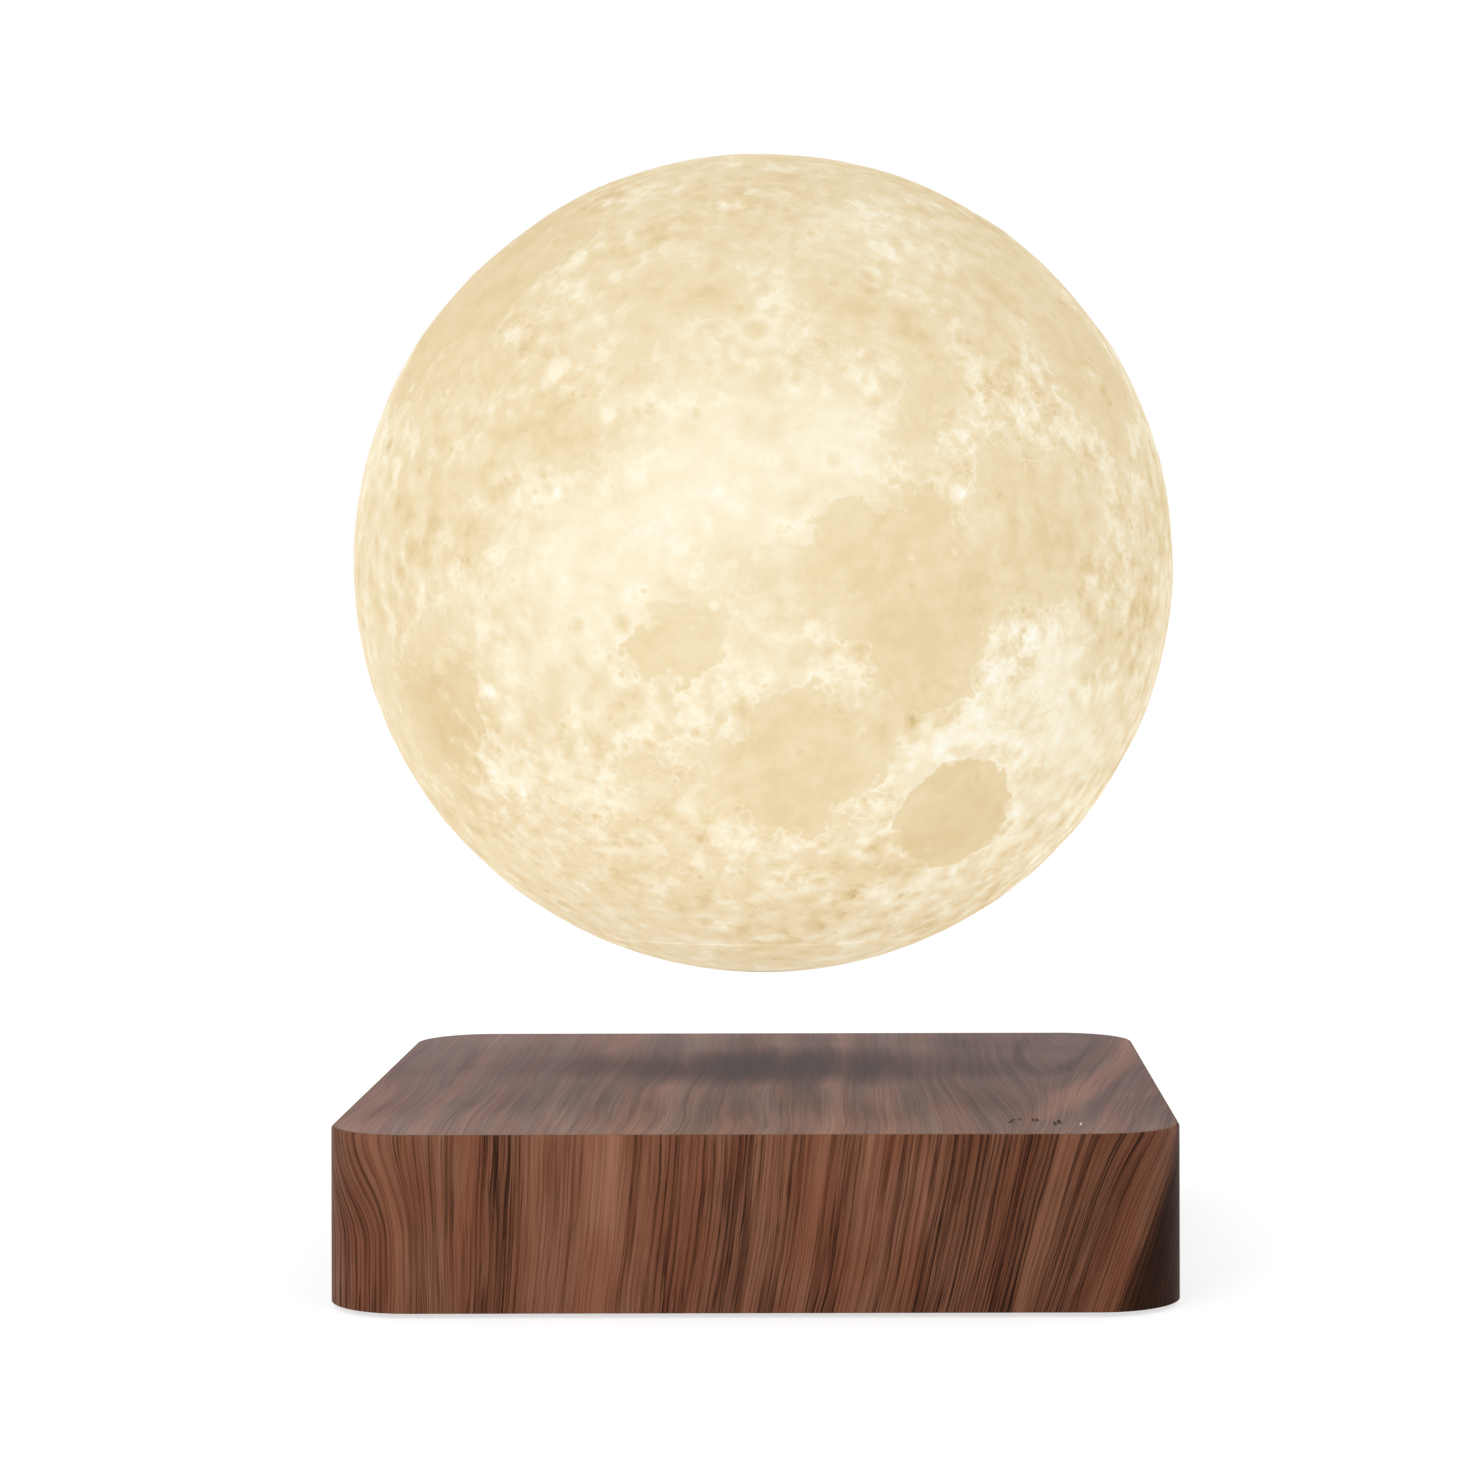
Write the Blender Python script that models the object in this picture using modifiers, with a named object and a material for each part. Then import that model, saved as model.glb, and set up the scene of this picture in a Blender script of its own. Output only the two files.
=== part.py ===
"""Levitating moon lamp: a hollow printed globe that floats and turns above a wood-film base."""

import math

import bmesh
import bpy
from mathutils import Vector

# Fits and mesh detail
CLEARANCE = 0.0003
SPHERE_CLEARANCE = 0.0006
WELD = 0.00001
OVERRUN = 0.002
GLOBE_STEPS = 48
TURN_STEPS = 32
PIN_STEPS = 16
SCREW_STEPS = 10
CORNER_STEPS = 6
GLOBE_ARC_STEPS = 20
GLOBE_INNER_ARC_STEPS = 15
CAP_ARC_STEPS = 5
LENS_ARC_STEPS = 5

# Base cover: a wood-film box, open below
BASE_WIDTH = 0.170
BASE_HEIGHT = 0.035
BASE_CORNER_RADIUS = 0.017
BASE_EDGE_ROUND = 0.0007
BASE_WALL = 0.005
BASE_TOP_THICKNESS = 0.004
BOSS_RADIUS = 0.0045
BOSS_INSET = 0.0135

# Bottom plate, its feet and its screws
RIM_HEIGHT = 0.001
PLATE_RECESS = 0.001
PLATE_THICKNESS = 0.0025
FOOT_RADIUS = 0.007
FOOT_TO_SCREW = 0.0105
FOOT_POCKET_DEPTH = 0.0008
FOOT_EDGE_ROUND = 0.0003
PLATE_SCREW_HEAD_RADIUS = 0.0027
PLATE_SCREW_HEAD_HEIGHT = 0.0012
PLATE_SCREW_SHAFT_RADIUS = 0.0014
PLATE_SCREW_LENGTH = 0.009
RECESS_WIDTH = 0.0006
RECESS_DEPTH = 0.0006

# Control board and the posts that carry it
BOARD_TO_BOSS = 0.001
BOARD_STANDOFF = 0.0035
BOARD_THICKNESS = 0.0016
BOARD_CORNER_RADIUS = 0.003
TONGUE_WIDTH = 0.016
TONGUE_GAP = 0.001
POST_COUNT = 3
POST_RADIUS = 0.004
POST_NECK_RADIUS = 0.0027

# Magnet ring: steel yoke, carrier and disc magnets
YOKE_STANDOFF = 0.0044
YOKE_THICKNESS = 0.002
YOKE_OVERHANG = 0.0006
CARRIER_RIM = 0.002
CARRIER_INNER_RIM = 0.002
MAGNET_COUNT = 6
MAGNET_RADIUS = 0.0075
MODULE_SCREW_HEAD_RADIUS = 0.003
MODULE_SCREW_HEAD_HEIGHT = 0.002
MODULE_SCREW_SHAFT_RADIUS = 0.0015
MODULE_SCREW_SEAT = 0.0003
MODULE_SCREW_TIP = 0.002

# Electromagnets and the field sensor between them
COIL_COUNT = 4
COIL_FRAME_GAP = 0.001
COIL_FRAME_EDGE = 0.002
COIL_FRAME_THICKNESS = 0.0012
COIL_GAP = 0.002
CORE_RADIUS = 0.0036
SLEEVE_WALL = 0.0009
WINDING_BUILD = 0.0054
SENSOR_BOARD_GAP = 0.0008
SENSOR_BOARD_THICKNESS = 0.001
SENSOR_PILLAR_WIDTH = 0.005
SENSOR_LENGTH = 0.004
SENSOR_WIDTH = 0.003
SENSOR_HEIGHT = 0.0008
SENSOR_HEADROOM = 0.0008

# Wireless power: tray and flat coil under the top
TOP_AIR_GAP = 0.0015
POWER_COIL_THICKNESS = 0.0024
POWER_COIL_INSET = 0.002
POWER_COIL_BUILD = 0.016
TRAY_THICKNESS = 0.0012
TRAY_HUB_WALL = 0.0016
TRAY_HUB_DROP = 0.0004
TRAY_LIP_WIDTH = 0.013
POWER_LEAD_RADIUS = 0.0009
POWER_LEAD_GAP = 0.0007
POWER_LEAD_BEND = 0.0018

# Power socket in the rear wall
JACK_WIDTH = 0.009
JACK_HEIGHT = 0.011
JACK_LENGTH = 0.014
JACK_AXIS_HEIGHT = 0.006
JACK_BORE_RADIUS = 0.003
JACK_BORE_DEPTH = 0.0095
JACK_PIN_RADIUS = 0.001
JACK_PIN_LENGTH = 0.0085
JACK_PIN_SEAT_DEPTH = 0.002
JACK_HOLE_RADIUS = 0.0055

# Parts on the control board
ELECTRONICS_TO_YOKE = 0.0097
MCU_WIDTH = 0.009
MCU_HEIGHT = 0.0012
DRIVER_WIDTH = 0.010
DRIVER_DEPTH = 0.008
DRIVER_HEIGHT = 0.002
CAPACITOR_RADIUS = 0.004
CAPACITOR_HEIGHT = 0.012
INDUCTOR_WIDTH = 0.010
INDUCTOR_HEIGHT = 0.005
INDUCTOR_CORNER_RADIUS = 0.002

# Touch key and its indicator under the front right corner
INDICATOR_SIDE_INSET = 0.0017
INDICATOR_FRONT_INSET = 0.0034
LIGHT_PIPE_RADIUS = 0.0007
LIGHT_PIPE_FLANGE_RADIUS = 0.0018
LIGHT_PIPE_FLANGE_HEIGHT = 0.0008
LIGHT_PIPE_SINK = 0.0001
INDICATOR_LED_LENGTH = 0.0016
INDICATOR_LED_WIDTH = 0.0008
INDICATOR_LED_HEIGHT = 0.0008
TOUCH_BOARD_LENGTH = 0.022
TOUCH_BOARD_WIDTH = 0.016
TOUCH_BOARD_THICKNESS = 0.001
TOUCH_BOARD_FRONT_INSET = 0.009
TOUCH_PAD_LENGTH = 0.012
TOUCH_PAD_WIDTH = 0.007
TOUCH_PAD_LEFT_INSET = 0.003
TOUCH_PAD_REAR_INSET = 0.0015
TOUCH_LEAD_RADIUS = 0.0008
TOUCH_LEAD_INSET = 0.004
TOUCH_LEAD_SWAY = 0.004

# Floating globe
MOON_RADIUS = 0.0893
MOON_WALL = 0.0018
FLOAT_GAP = 0.0236

# Lower cap of the globe, with the floating magnet and the receiver in its cup
FLOAT_MAGNET_RADIUS = 0.023
FLOAT_MAGNET_HEIGHT = 0.007
CAP_SKIN = 0.0016
RECEIVER_COIL_GAP = 0.0010
RECEIVER_COIL_BUILD = 0.005
RECEIVER_COIL_HEIGHT = 0.0066
RECEIVER_BOARD_LEDGE = 0.0015
RECEIVER_BOARD_THICKNESS = 0.0016
CUP_WALL = 0.0016
CUP_LIP = 0.001
FLANGE_WIDTH = 0.0065
FLANGE_EDGE_THICKNESS = 0.0024
NECK_RING_LAND = 0.0015
NECK_RING_HEIGHT = 0.005
CAP_SCREW_COUNT = 3
CAP_SCREW_HEAD_RADIUS = 0.0018
CAP_SCREW_HEAD_HEIGHT = 0.001
CAP_SCREW_SHAFT_RADIUS = 0.001
CAP_SCREW_GRIP = 0.0015
CAP_SCREW_LENGTH = 0.005

# Light source on its column inside the globe
LED_POST_RADIUS = 0.008
LED_POST_HEIGHT = 0.040
LED_BOARD_RADIUS = 0.015
LED_BOARD_THICKNESS = 0.0016
LED_CHIP_WIDTH = 0.009
LED_CHIP_HEIGHT = 0.0015
LED_CHIP_CORNER_RADIUS = 0.001
LENS_RADIUS = 0.0137
LENS_WALL = 0.0015
LED_LEAD_RADIUS = 0.0008
LED_LEAD_GAP = 0.0006

# Levels in the base, from the floor up
COVER_TOP_Z = RIM_HEIGHT + BASE_HEIGHT
CEILING_Z = COVER_TOP_Z - BASE_TOP_THICKNESS
PLATE_BOTTOM_Z = RIM_HEIGHT + PLATE_RECESS
PLATE_TOP_Z = PLATE_BOTTOM_Z + PLATE_THICKNESS
BOARD_BOTTOM_Z = PLATE_TOP_Z + BOARD_STANDOFF
BOARD_TOP_Z = BOARD_BOTTOM_Z + BOARD_THICKNESS
SEAT_Z = BOARD_TOP_Z + CLEARANCE
YOKE_BOTTOM_Z = BOARD_TOP_Z + YOKE_STANDOFF
YOKE_TOP_Z = YOKE_BOTTOM_Z + YOKE_THICKNESS
POWER_COIL_BOTTOM_Z = CEILING_Z - TOP_AIR_GAP - POWER_COIL_THICKNESS
TRAY_TOP_Z = POWER_COIL_BOTTOM_Z - CLEARANCE
TRAY_BOTTOM_Z = TRAY_TOP_Z - TRAY_THICKNESS
CARRIER_BOTTOM_Z = YOKE_TOP_Z + CLEARANCE
CARRIER_TOP_Z = TRAY_BOTTOM_Z - CLEARANCE
JACK_AXIS_Z = SEAT_Z + JACK_AXIS_HEIGHT

# Plan sizes of the base, from the walls in
BASE_HALF = BASE_WIDTH / 2
INNER_HALF = BASE_HALF - BASE_WALL
INNER_CORNER_RADIUS = BASE_CORNER_RADIUS - BASE_WALL
BOSS_REACH = BASE_HALF - BOSS_INSET
FOOT_REACH = BOSS_REACH - FOOT_TO_SCREW
BOARD_HALF = BOSS_REACH - BOSS_RADIUS - BOARD_TO_BOSS
JACK_FACE_Y = INNER_HALF - CLEARANCE

# Plan sizes of the levitation module, from its middle out
SLEEVE_BORE_RADIUS = CORE_RADIUS + CLEARANCE
SLEEVE_RADIUS = SLEEVE_BORE_RADIUS + SLEEVE_WALL
WINDING_BORE_RADIUS = SLEEVE_RADIUS + CLEARANCE
WINDING_RADIUS = WINDING_BORE_RADIUS + WINDING_BUILD
COIL_CIRCLE_RADIUS = (WINDING_RADIUS + COIL_GAP / 2) / math.sin(math.pi / COIL_COUNT)
COIL_FRAME_RADIUS = COIL_CIRCLE_RADIUS + WINDING_RADIUS + COIL_FRAME_EDGE
SENSOR_BOARD_WIDTH = (COIL_CIRCLE_RADIUS - WINDING_RADIUS - SENSOR_BOARD_GAP) * math.sqrt(2)
CARRIER_BORE_RADIUS = COIL_FRAME_RADIUS + COIL_FRAME_GAP
POCKET_RADIUS = MAGNET_RADIUS + CLEARANCE
MAGNET_CIRCLE_RADIUS = CARRIER_BORE_RADIUS + CARRIER_INNER_RIM + POCKET_RADIUS
CARRIER_RADIUS = MAGNET_CIRCLE_RADIUS + POCKET_RADIUS + CARRIER_RIM
YOKE_RADIUS = CARRIER_RADIUS + YOKE_OVERHANG
POST_HOLE_RADIUS = MODULE_SCREW_SHAFT_RADIUS + CLEARANCE
POWER_COIL_RADIUS = CARRIER_RADIUS - POWER_COIL_INSET
POWER_COIL_BORE_RADIUS = POWER_COIL_RADIUS - POWER_COIL_BUILD
TRAY_HUB_RADIUS = POWER_COIL_BORE_RADIUS - CLEARANCE
TRAY_HUB_BORE_RADIUS = TRAY_HUB_RADIUS - TRAY_HUB_WALL
TRAY_BORE_RADIUS = TRAY_HUB_BORE_RADIUS - TRAY_LIP_WIDTH
ELECTRONICS_REACH = (YOKE_RADIUS + ELECTRONICS_TO_YOKE) / math.sqrt(2)

# Places on the touch board
TOUCH_BOARD_RIGHT_X = BOSS_REACH - BOSS_RADIUS - CLEARANCE
TOUCH_BOARD_FRONT_Y = TOUCH_BOARD_FRONT_INSET - BASE_HALF
INDICATOR_X = TOUCH_BOARD_RIGHT_X - INDICATOR_SIDE_INSET
INDICATOR_Y = TOUCH_BOARD_FRONT_Y + INDICATOR_FRONT_INSET

# Sizes of the globe's lower end, in a frame centred on the globe
MOON_CENTRE_Z = COVER_TOP_Z + FLOAT_GAP + MOON_RADIUS
MOON_INNER_RADIUS = MOON_RADIUS - MOON_WALL
MAGNET_POCKET_RADIUS = FLOAT_MAGNET_RADIUS + CLEARANCE
RECEIVER_COIL_BORE_RADIUS = FLOAT_MAGNET_RADIUS + RECEIVER_COIL_GAP
RECEIVER_COIL_RADIUS = RECEIVER_COIL_BORE_RADIUS + RECEIVER_COIL_BUILD
CUP_LOWER_RADIUS = RECEIVER_COIL_RADIUS + CLEARANCE
RECEIVER_BOARD_RADIUS = CUP_LOWER_RADIUS + RECEIVER_BOARD_LEDGE
CUP_UPPER_RADIUS = RECEIVER_BOARD_RADIUS + CLEARANCE
CUP_OUTER_RADIUS = CUP_UPPER_RADIUS + CUP_WALL
CAP_RADIUS = CUP_OUTER_RADIUS + FLANGE_WIDTH
MOUTH_RADIUS = CAP_RADIUS + CLEARANCE
CAP_SCREW_CIRCLE_RADIUS = CUP_OUTER_RADIUS + FLANGE_WIDTH / 2


def sphere_drop(sphere_radius, radius):
    """How far below the globe's centre a sphere passes at this distance from the axis."""
    return math.sqrt(sphere_radius**2 - radius**2)


POCKET_FLOOR_Z = CAP_SKIN - sphere_drop(MOON_RADIUS, MAGNET_POCKET_RADIUS)
COIL_LEDGE_Z = CAP_SKIN - sphere_drop(MOON_RADIUS, CUP_LOWER_RADIUS)
FLOAT_MAGNET_Z = POCKET_FLOOR_Z + CLEARANCE
RECEIVER_COIL_Z = COIL_LEDGE_Z + CLEARANCE
FLOAT_STACK_TOP_Z = max(FLOAT_MAGNET_Z + FLOAT_MAGNET_HEIGHT, RECEIVER_COIL_Z + RECEIVER_COIL_HEIGHT)
BOARD_LEDGE_Z = FLOAT_STACK_TOP_Z + CLEARANCE
RECEIVER_BOARD_Z = BOARD_LEDGE_Z + CLEARANCE
RECEIVER_BOARD_TOP_Z = RECEIVER_BOARD_Z + RECEIVER_BOARD_THICKNESS
CUP_TOP_Z = RECEIVER_BOARD_TOP_Z + CUP_LIP
FLANGE_TOP_Z = FLANGE_EDGE_THICKNESS - sphere_drop(MOON_RADIUS, CAP_RADIUS)
CAP_SCREW_SHOULDER_Z = FLANGE_TOP_Z - CAP_SCREW_GRIP
NECK_RING_Z = FLANGE_TOP_Z + CLEARANCE
LED_POST_Z = RECEIVER_BOARD_TOP_Z + CLEARANCE
LED_BOARD_Z = LED_POST_Z + LED_POST_HEIGHT + CLEARANCE
LED_SEAT_Z = LED_BOARD_Z + LED_BOARD_THICKNESS + CLEARANCE

FINISHES = {
    "wood_film": ((0.17, 0.075, 0.042), 0.42, 0.0),
    "globe_plastic": ((0.90, 0.80, 0.58), 0.60, 0.0),
    "cap_plastic": ((0.82, 0.76, 0.62), 0.55, 0.0),
    "black_plastic": ((0.03, 0.03, 0.032), 0.50, 0.0),
    "rubber": ((0.02, 0.02, 0.02), 0.90, 0.0),
    "steel": ((0.55, 0.55, 0.57), 0.35, 1.0),
    "nickel": ((0.70, 0.68, 0.64), 0.22, 1.0),
    "copper": ((0.72, 0.30, 0.14), 0.35, 1.0),
    "board_green": ((0.02, 0.16, 0.07), 0.40, 0.0),
    "board_white": ((0.85, 0.85, 0.83), 0.40, 0.0),
    "aluminium": ((0.78, 0.79, 0.80), 0.38, 1.0),
    "foam": ((0.10, 0.10, 0.11), 0.95, 0.0),
    "ferrite": ((0.06, 0.06, 0.065), 0.70, 0.0),
    "clear_plastic": ((0.92, 0.92, 0.90), 0.25, 0.0),
    "lead_red": ((0.45, 0.03, 0.02), 0.50, 0.0),
    "led_yellow": ((0.90, 0.68, 0.20), 0.35, 0.0),
}


def clear_scene():
    for obj in list(bpy.data.objects):
        bpy.data.objects.remove(obj)


def new_collection(name):
    collection = bpy.data.collections.new(name)
    bpy.context.scene.collection.children.link(collection)
    return collection


def new_material(name):
    """A Principled material from its row in FINISHES."""
    colour, roughness, metallic = FINISHES[name]
    material = bpy.data.materials.new(name)
    material.use_nodes = True
    shader = material.node_tree.nodes["Principled BSDF"]
    shader.inputs["Base Color"].default_value = (*colour, 1.0)
    shader.inputs["Roughness"].default_value = roughness
    shader.inputs["Metallic"].default_value = metallic
    return material


clear_scene()
PARTS = new_collection("levitating_moon_lamp")
CUTTERS = new_collection("cutters")
MATERIALS = {name: new_material(name) for name in FINISHES}


def place(name, mesh, finish, at=(0, 0, 0), turn=0, parent=None):
    """Puts a mesh in the scene as one part, at a place and a turn about Z in its parent's frame."""
    obj = bpy.data.objects.new(name, mesh)
    PARTS.objects.link(obj)
    obj.location = at
    obj.rotation_euler = (0, 0, turn)
    obj.parent = parent
    if not mesh.materials:
        mesh.materials.append(MATERIALS[finish])
    return obj


def cutter(name, mesh, at=(0, 0, 0), tilt=0, turn=0, parent=None):
    """A helper body for a Boolean, which isn't a part."""
    obj = bpy.data.objects.new(name, mesh)
    CUTTERS.objects.link(obj)
    obj.location = at
    obj.rotation_euler = (tilt, 0, turn)
    obj.parent = parent
    obj.hide_render = True
    obj.display_type = "WIRE"
    return obj


def boolean(obj, other, operation):
    modifier = obj.modifiers.new(other.name, "BOOLEAN")
    modifier.operation = operation
    modifier.solver = "EXACT"
    modifier.object = other


def cut(obj, other):
    boolean(obj, other, "DIFFERENCE")


def join(obj, other):
    boolean(obj, other, "UNION")


def bevel(obj, width, segments=2):
    """Rounds the sharp edges, and leaves the facets of a round side alone."""
    modifier = obj.modifiers.new("edge_round", "BEVEL")
    modifier.width = width
    modifier.segments = segments
    modifier.limit_method = "ANGLE"
    modifier.angle_limit = math.radians(60)


def to_mesh(name, work):
    mesh = bpy.data.meshes.new(name)
    work.to_mesh(mesh)
    work.free()
    return mesh


def rod_mesh(name, radius, height, steps=PIN_STEPS):
    """A cylinder that stands on the origin."""
    work = bmesh.new()
    bmesh.ops.create_cone(work, cap_ends=True, segments=steps, radius1=radius, radius2=radius, depth=height)
    bmesh.ops.translate(work, verts=work.verts, vec=(0, 0, height / 2))
    mesh = to_mesh(name, work)
    mesh.shade_smooth()
    mesh.set_sharp_from_angle(angle=math.radians(40))
    return mesh


def block_mesh(name, width, depth, height, corner_radius=0):
    """A block that stands on the origin, with its upright edges rounded if a radius is given."""
    work = bmesh.new()
    bmesh.ops.create_cube(work, size=1)
    bmesh.ops.scale(work, verts=work.verts, vec=(width, depth, height))
    bmesh.ops.translate(work, verts=work.verts, vec=(0, 0, height / 2))
    if corner_radius:
        upright = [e for e in work.edges if abs(e.verts[0].co.z - e.verts[1].co.z) > height / 2]
        bmesh.ops.bevel(
            work,
            geom=upright,
            offset=corner_radius,
            offset_type="OFFSET",
            segments=CORNER_STEPS,
            profile=0.5,
            affect="EDGES",
        )
    mesh = to_mesh(name, work)
    mesh.shade_smooth()
    mesh.set_sharp_from_angle(angle=math.radians(40))
    return mesh


def turned(name, profile, finish, parent=None, steps=TURN_STEPS):
    """A solid of revolution about Z. The (radius, height) points run down its outer side."""
    mesh = bpy.data.meshes.new(name)
    edges = [(i, i + 1) for i in range(len(profile) - 1)]
    if profile[0][0] > 0 or profile[-1][0] > 0:
        edges.append((len(profile) - 1, 0))
    mesh.from_pydata([(radius, 0, height) for radius, height in profile], edges, [])
    obj = place(name, mesh, finish, parent=parent)
    screw = obj.modifiers.new("turning", "SCREW")
    screw.steps = steps
    screw.render_steps = steps
    screw.use_merge_vertices = True
    screw.merge_threshold = WELD
    return obj


def ring(name, outer_radius, inner_radius, bottom_z, top_z, finish, parent=None, steps=TURN_STEPS):
    profile = [
        (outer_radius, top_z),
        (outer_radius, bottom_z),
        (inner_radius, bottom_z),
        (inner_radius, top_z),
    ]
    return turned(name, profile, finish, parent, steps)


def baked(obj):
    """The object's evaluated mesh, for copies. The object goes away."""
    bpy.context.view_layer.update()
    graph = bpy.context.evaluated_depsgraph_get()
    mesh = bpy.data.meshes.new_from_object(obj.evaluated_get(graph))
    mesh.name = obj.name
    bpy.data.objects.remove(obj)
    return mesh


def screw_mesh(name, head_radius, head_height, shaft_radius, length):
    """A screw with a cross recess. Its head's bearing face is at the origin and its shaft runs up Z."""
    body = turned(
        name,
        [
            (0, length),
            (shaft_radius, length),
            (shaft_radius, 0),
            (head_radius, 0),
            (head_radius, -head_height),
            (0, -head_height),
        ],
        "steel",
        steps=SCREW_STEPS,
    )
    bar = block_mesh("recess_bar", head_radius, RECESS_WIDTH, RECESS_DEPTH + OVERRUN)
    under_head = RECESS_DEPTH - head_height
    for turn in (0, math.pi / 2):
        cut(body, cutter("recess", bar, at=(0, 0, under_head - RECESS_DEPTH - OVERRUN), turn=turn))
    mesh = baked(body)
    for helper in [o for o in CUTTERS.objects if o.data == bar]:
        bpy.data.objects.remove(helper)
    return mesh


def smooth_route(points, steps):
    """Points on a smooth curve that passes through each of the points given."""
    knots = [points[0], *points, points[-1]]
    route = []
    for before, start, end, after in zip(knots, knots[1:], knots[2:], knots[3:]):
        for step in range(steps):
            t = step / steps
            route.append(
                0.5
                * (
                    2 * start
                    + (end - before) * t
                    + (2 * before - 5 * start + 4 * end - after) * t**2
                    + (3 * start - before - 3 * end + after) * t**3
                )
            )
    return [*route, points[-1]]


def tube(name, points, radius, finish, steps=3, parent=None):
    """A lead of round section along a smooth curve through the points."""
    curve = bpy.data.curves.new(name, "CURVE")
    curve.dimensions = "3D"
    curve.bevel_depth = radius
    curve.bevel_resolution = 2
    curve.use_fill_caps = True
    route = smooth_route([Vector(point) for point in points], steps)
    spline = curve.splines.new("POLY")
    spline.points.add(len(route) - 1)
    for point, place_on_route in zip(spline.points, route):
        point.co = (*place_on_route, 1)
    curve.materials.append(MATERIALS[finish])
    obj = bpy.data.objects.new(name, curve)
    PARTS.objects.link(obj)
    obj.parent = parent
    return obj


def arc(sphere_radius, start, end, steps):
    """(radius, height) points on a sphere's outline, by angles from its upper pole."""
    angles = [start + (end - start) * i / steps for i in range(steps + 1)]
    return [(max(0, sphere_radius * math.sin(a)), sphere_radius * math.cos(a)) for a in angles]


def four_corners(reach):
    return [(x * reach, y * reach) for y in (-1, 1) for x in (-1, 1)]


def on_circle(radius, count, first_angle=0):
    """(x, y, angle) of places spread evenly round the axis."""
    angles = [first_angle + 2 * math.pi * i / count for i in range(count)]
    return [(radius * math.cos(a), radius * math.sin(a), a) for a in angles]


def build_cover():
    shell = place(
        "base_cover",
        block_mesh("base_cover", BASE_WIDTH, BASE_WIDTH, BASE_HEIGHT, BASE_CORNER_RADIUS),
        "wood_film",
        at=(0, 0, RIM_HEIGHT),
    )
    bevel(shell, BASE_EDGE_ROUND)
    cavity_height = CEILING_Z - RIM_HEIGHT + OVERRUN
    cavity = block_mesh("cavity", 2 * INNER_HALF, 2 * INNER_HALF, cavity_height, INNER_CORNER_RADIUS)
    cut(shell, cutter("cavity", cavity, at=(0, 0, RIM_HEIGHT - OVERRUN)))

    boss_bottom_z = PLATE_TOP_Z + CLEARANCE
    boss_top_z = CEILING_Z + BASE_TOP_THICKNESS / 2
    boss = rod_mesh("boss", BOSS_RADIUS, boss_top_z - boss_bottom_z)
    screw_reach = PLATE_BOTTOM_Z + PLATE_SCREW_HEAD_HEIGHT + PLATE_SCREW_LENGTH
    pilot_height = screw_reach + OVERRUN - (boss_bottom_z - OVERRUN)
    pilot = rod_mesh("pilot", PLATE_SCREW_SHAFT_RADIUS + CLEARANCE, pilot_height, SCREW_STEPS)
    for x, y in four_corners(BOSS_REACH):
        join(shell, cutter("boss", boss, at=(x, y, boss_bottom_z)))
        cut(shell, cutter("pilot", pilot, at=(x, y, boss_bottom_z - OVERRUN)))

    jack_hole = rod_mesh("jack_hole", JACK_HOLE_RADIUS, BASE_WALL + 2 * OVERRUN)
    cut(shell, cutter("jack_hole", jack_hole, at=(0, BASE_HALF + OVERRUN, JACK_AXIS_Z), tilt=math.pi / 2))
    pipe_hole_radius = LIGHT_PIPE_RADIUS + CLEARANCE
    pipe_hole = rod_mesh("pipe_hole", pipe_hole_radius, BASE_TOP_THICKNESS + 2 * OVERRUN, SCREW_STEPS)
    cut(shell, cutter("pipe_hole", pipe_hole, at=(INDICATOR_X, INDICATOR_Y, CEILING_Z - OVERRUN)))


def build_bottom_plate():
    width = 2 * (INNER_HALF - CLEARANCE)
    plate = place(
        "bottom_plate",
        block_mesh("bottom_plate", width, width, PLATE_THICKNESS, INNER_CORNER_RADIUS - CLEARANCE),
        "black_plastic",
        at=(0, 0, PLATE_BOTTOM_Z),
    )
    post_shoulder_z = BOARD_BOTTOM_Z - CLEARANCE
    neck_top_z = YOKE_BOTTOM_Z - CLEARANCE
    post_root_z = PLATE_TOP_Z - PLATE_THICKNESS / 2
    post = rod_mesh("post", POST_RADIUS, post_shoulder_z - post_root_z)
    neck = rod_mesh("neck", POST_NECK_RADIUS, neck_top_z - post_root_z)
    post_hole = rod_mesh("post_hole", POST_HOLE_RADIUS, neck_top_z - PLATE_TOP_Z + OVERRUN, SCREW_STEPS)
    for x, y, _ in on_circle(MAGNET_CIRCLE_RADIUS, POST_COUNT):
        join(plate, cutter("post", post, at=(x, y, post_root_z)))
        join(plate, cutter("neck", neck, at=(x, y, post_root_z)))
        cut(plate, cutter("post_hole", post_hole, at=(x, y, PLATE_TOP_Z)))

    through = rod_mesh(
        "screw_hole", PLATE_SCREW_SHAFT_RADIUS + CLEARANCE, PLATE_THICKNESS + 2 * OVERRUN, SCREW_STEPS
    )
    sink_depth = PLATE_SCREW_HEAD_HEIGHT + CLEARANCE
    sink = rod_mesh("screw_sink", PLATE_SCREW_HEAD_RADIUS + CLEARANCE, sink_depth + OVERRUN)
    for x, y in four_corners(BOSS_REACH):
        cut(plate, cutter("screw_hole", through, at=(x, y, PLATE_BOTTOM_Z - OVERRUN)))
        cut(plate, cutter("screw_sink", sink, at=(x, y, PLATE_BOTTOM_Z - OVERRUN)))

    pocket = rod_mesh("foot_pocket", FOOT_RADIUS + CLEARANCE, FOOT_POCKET_DEPTH + OVERRUN)
    for x, y in four_corners(FOOT_REACH):
        cut(plate, cutter("foot_pocket", pocket, at=(x, y, PLATE_BOTTOM_Z - OVERRUN)))


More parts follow.
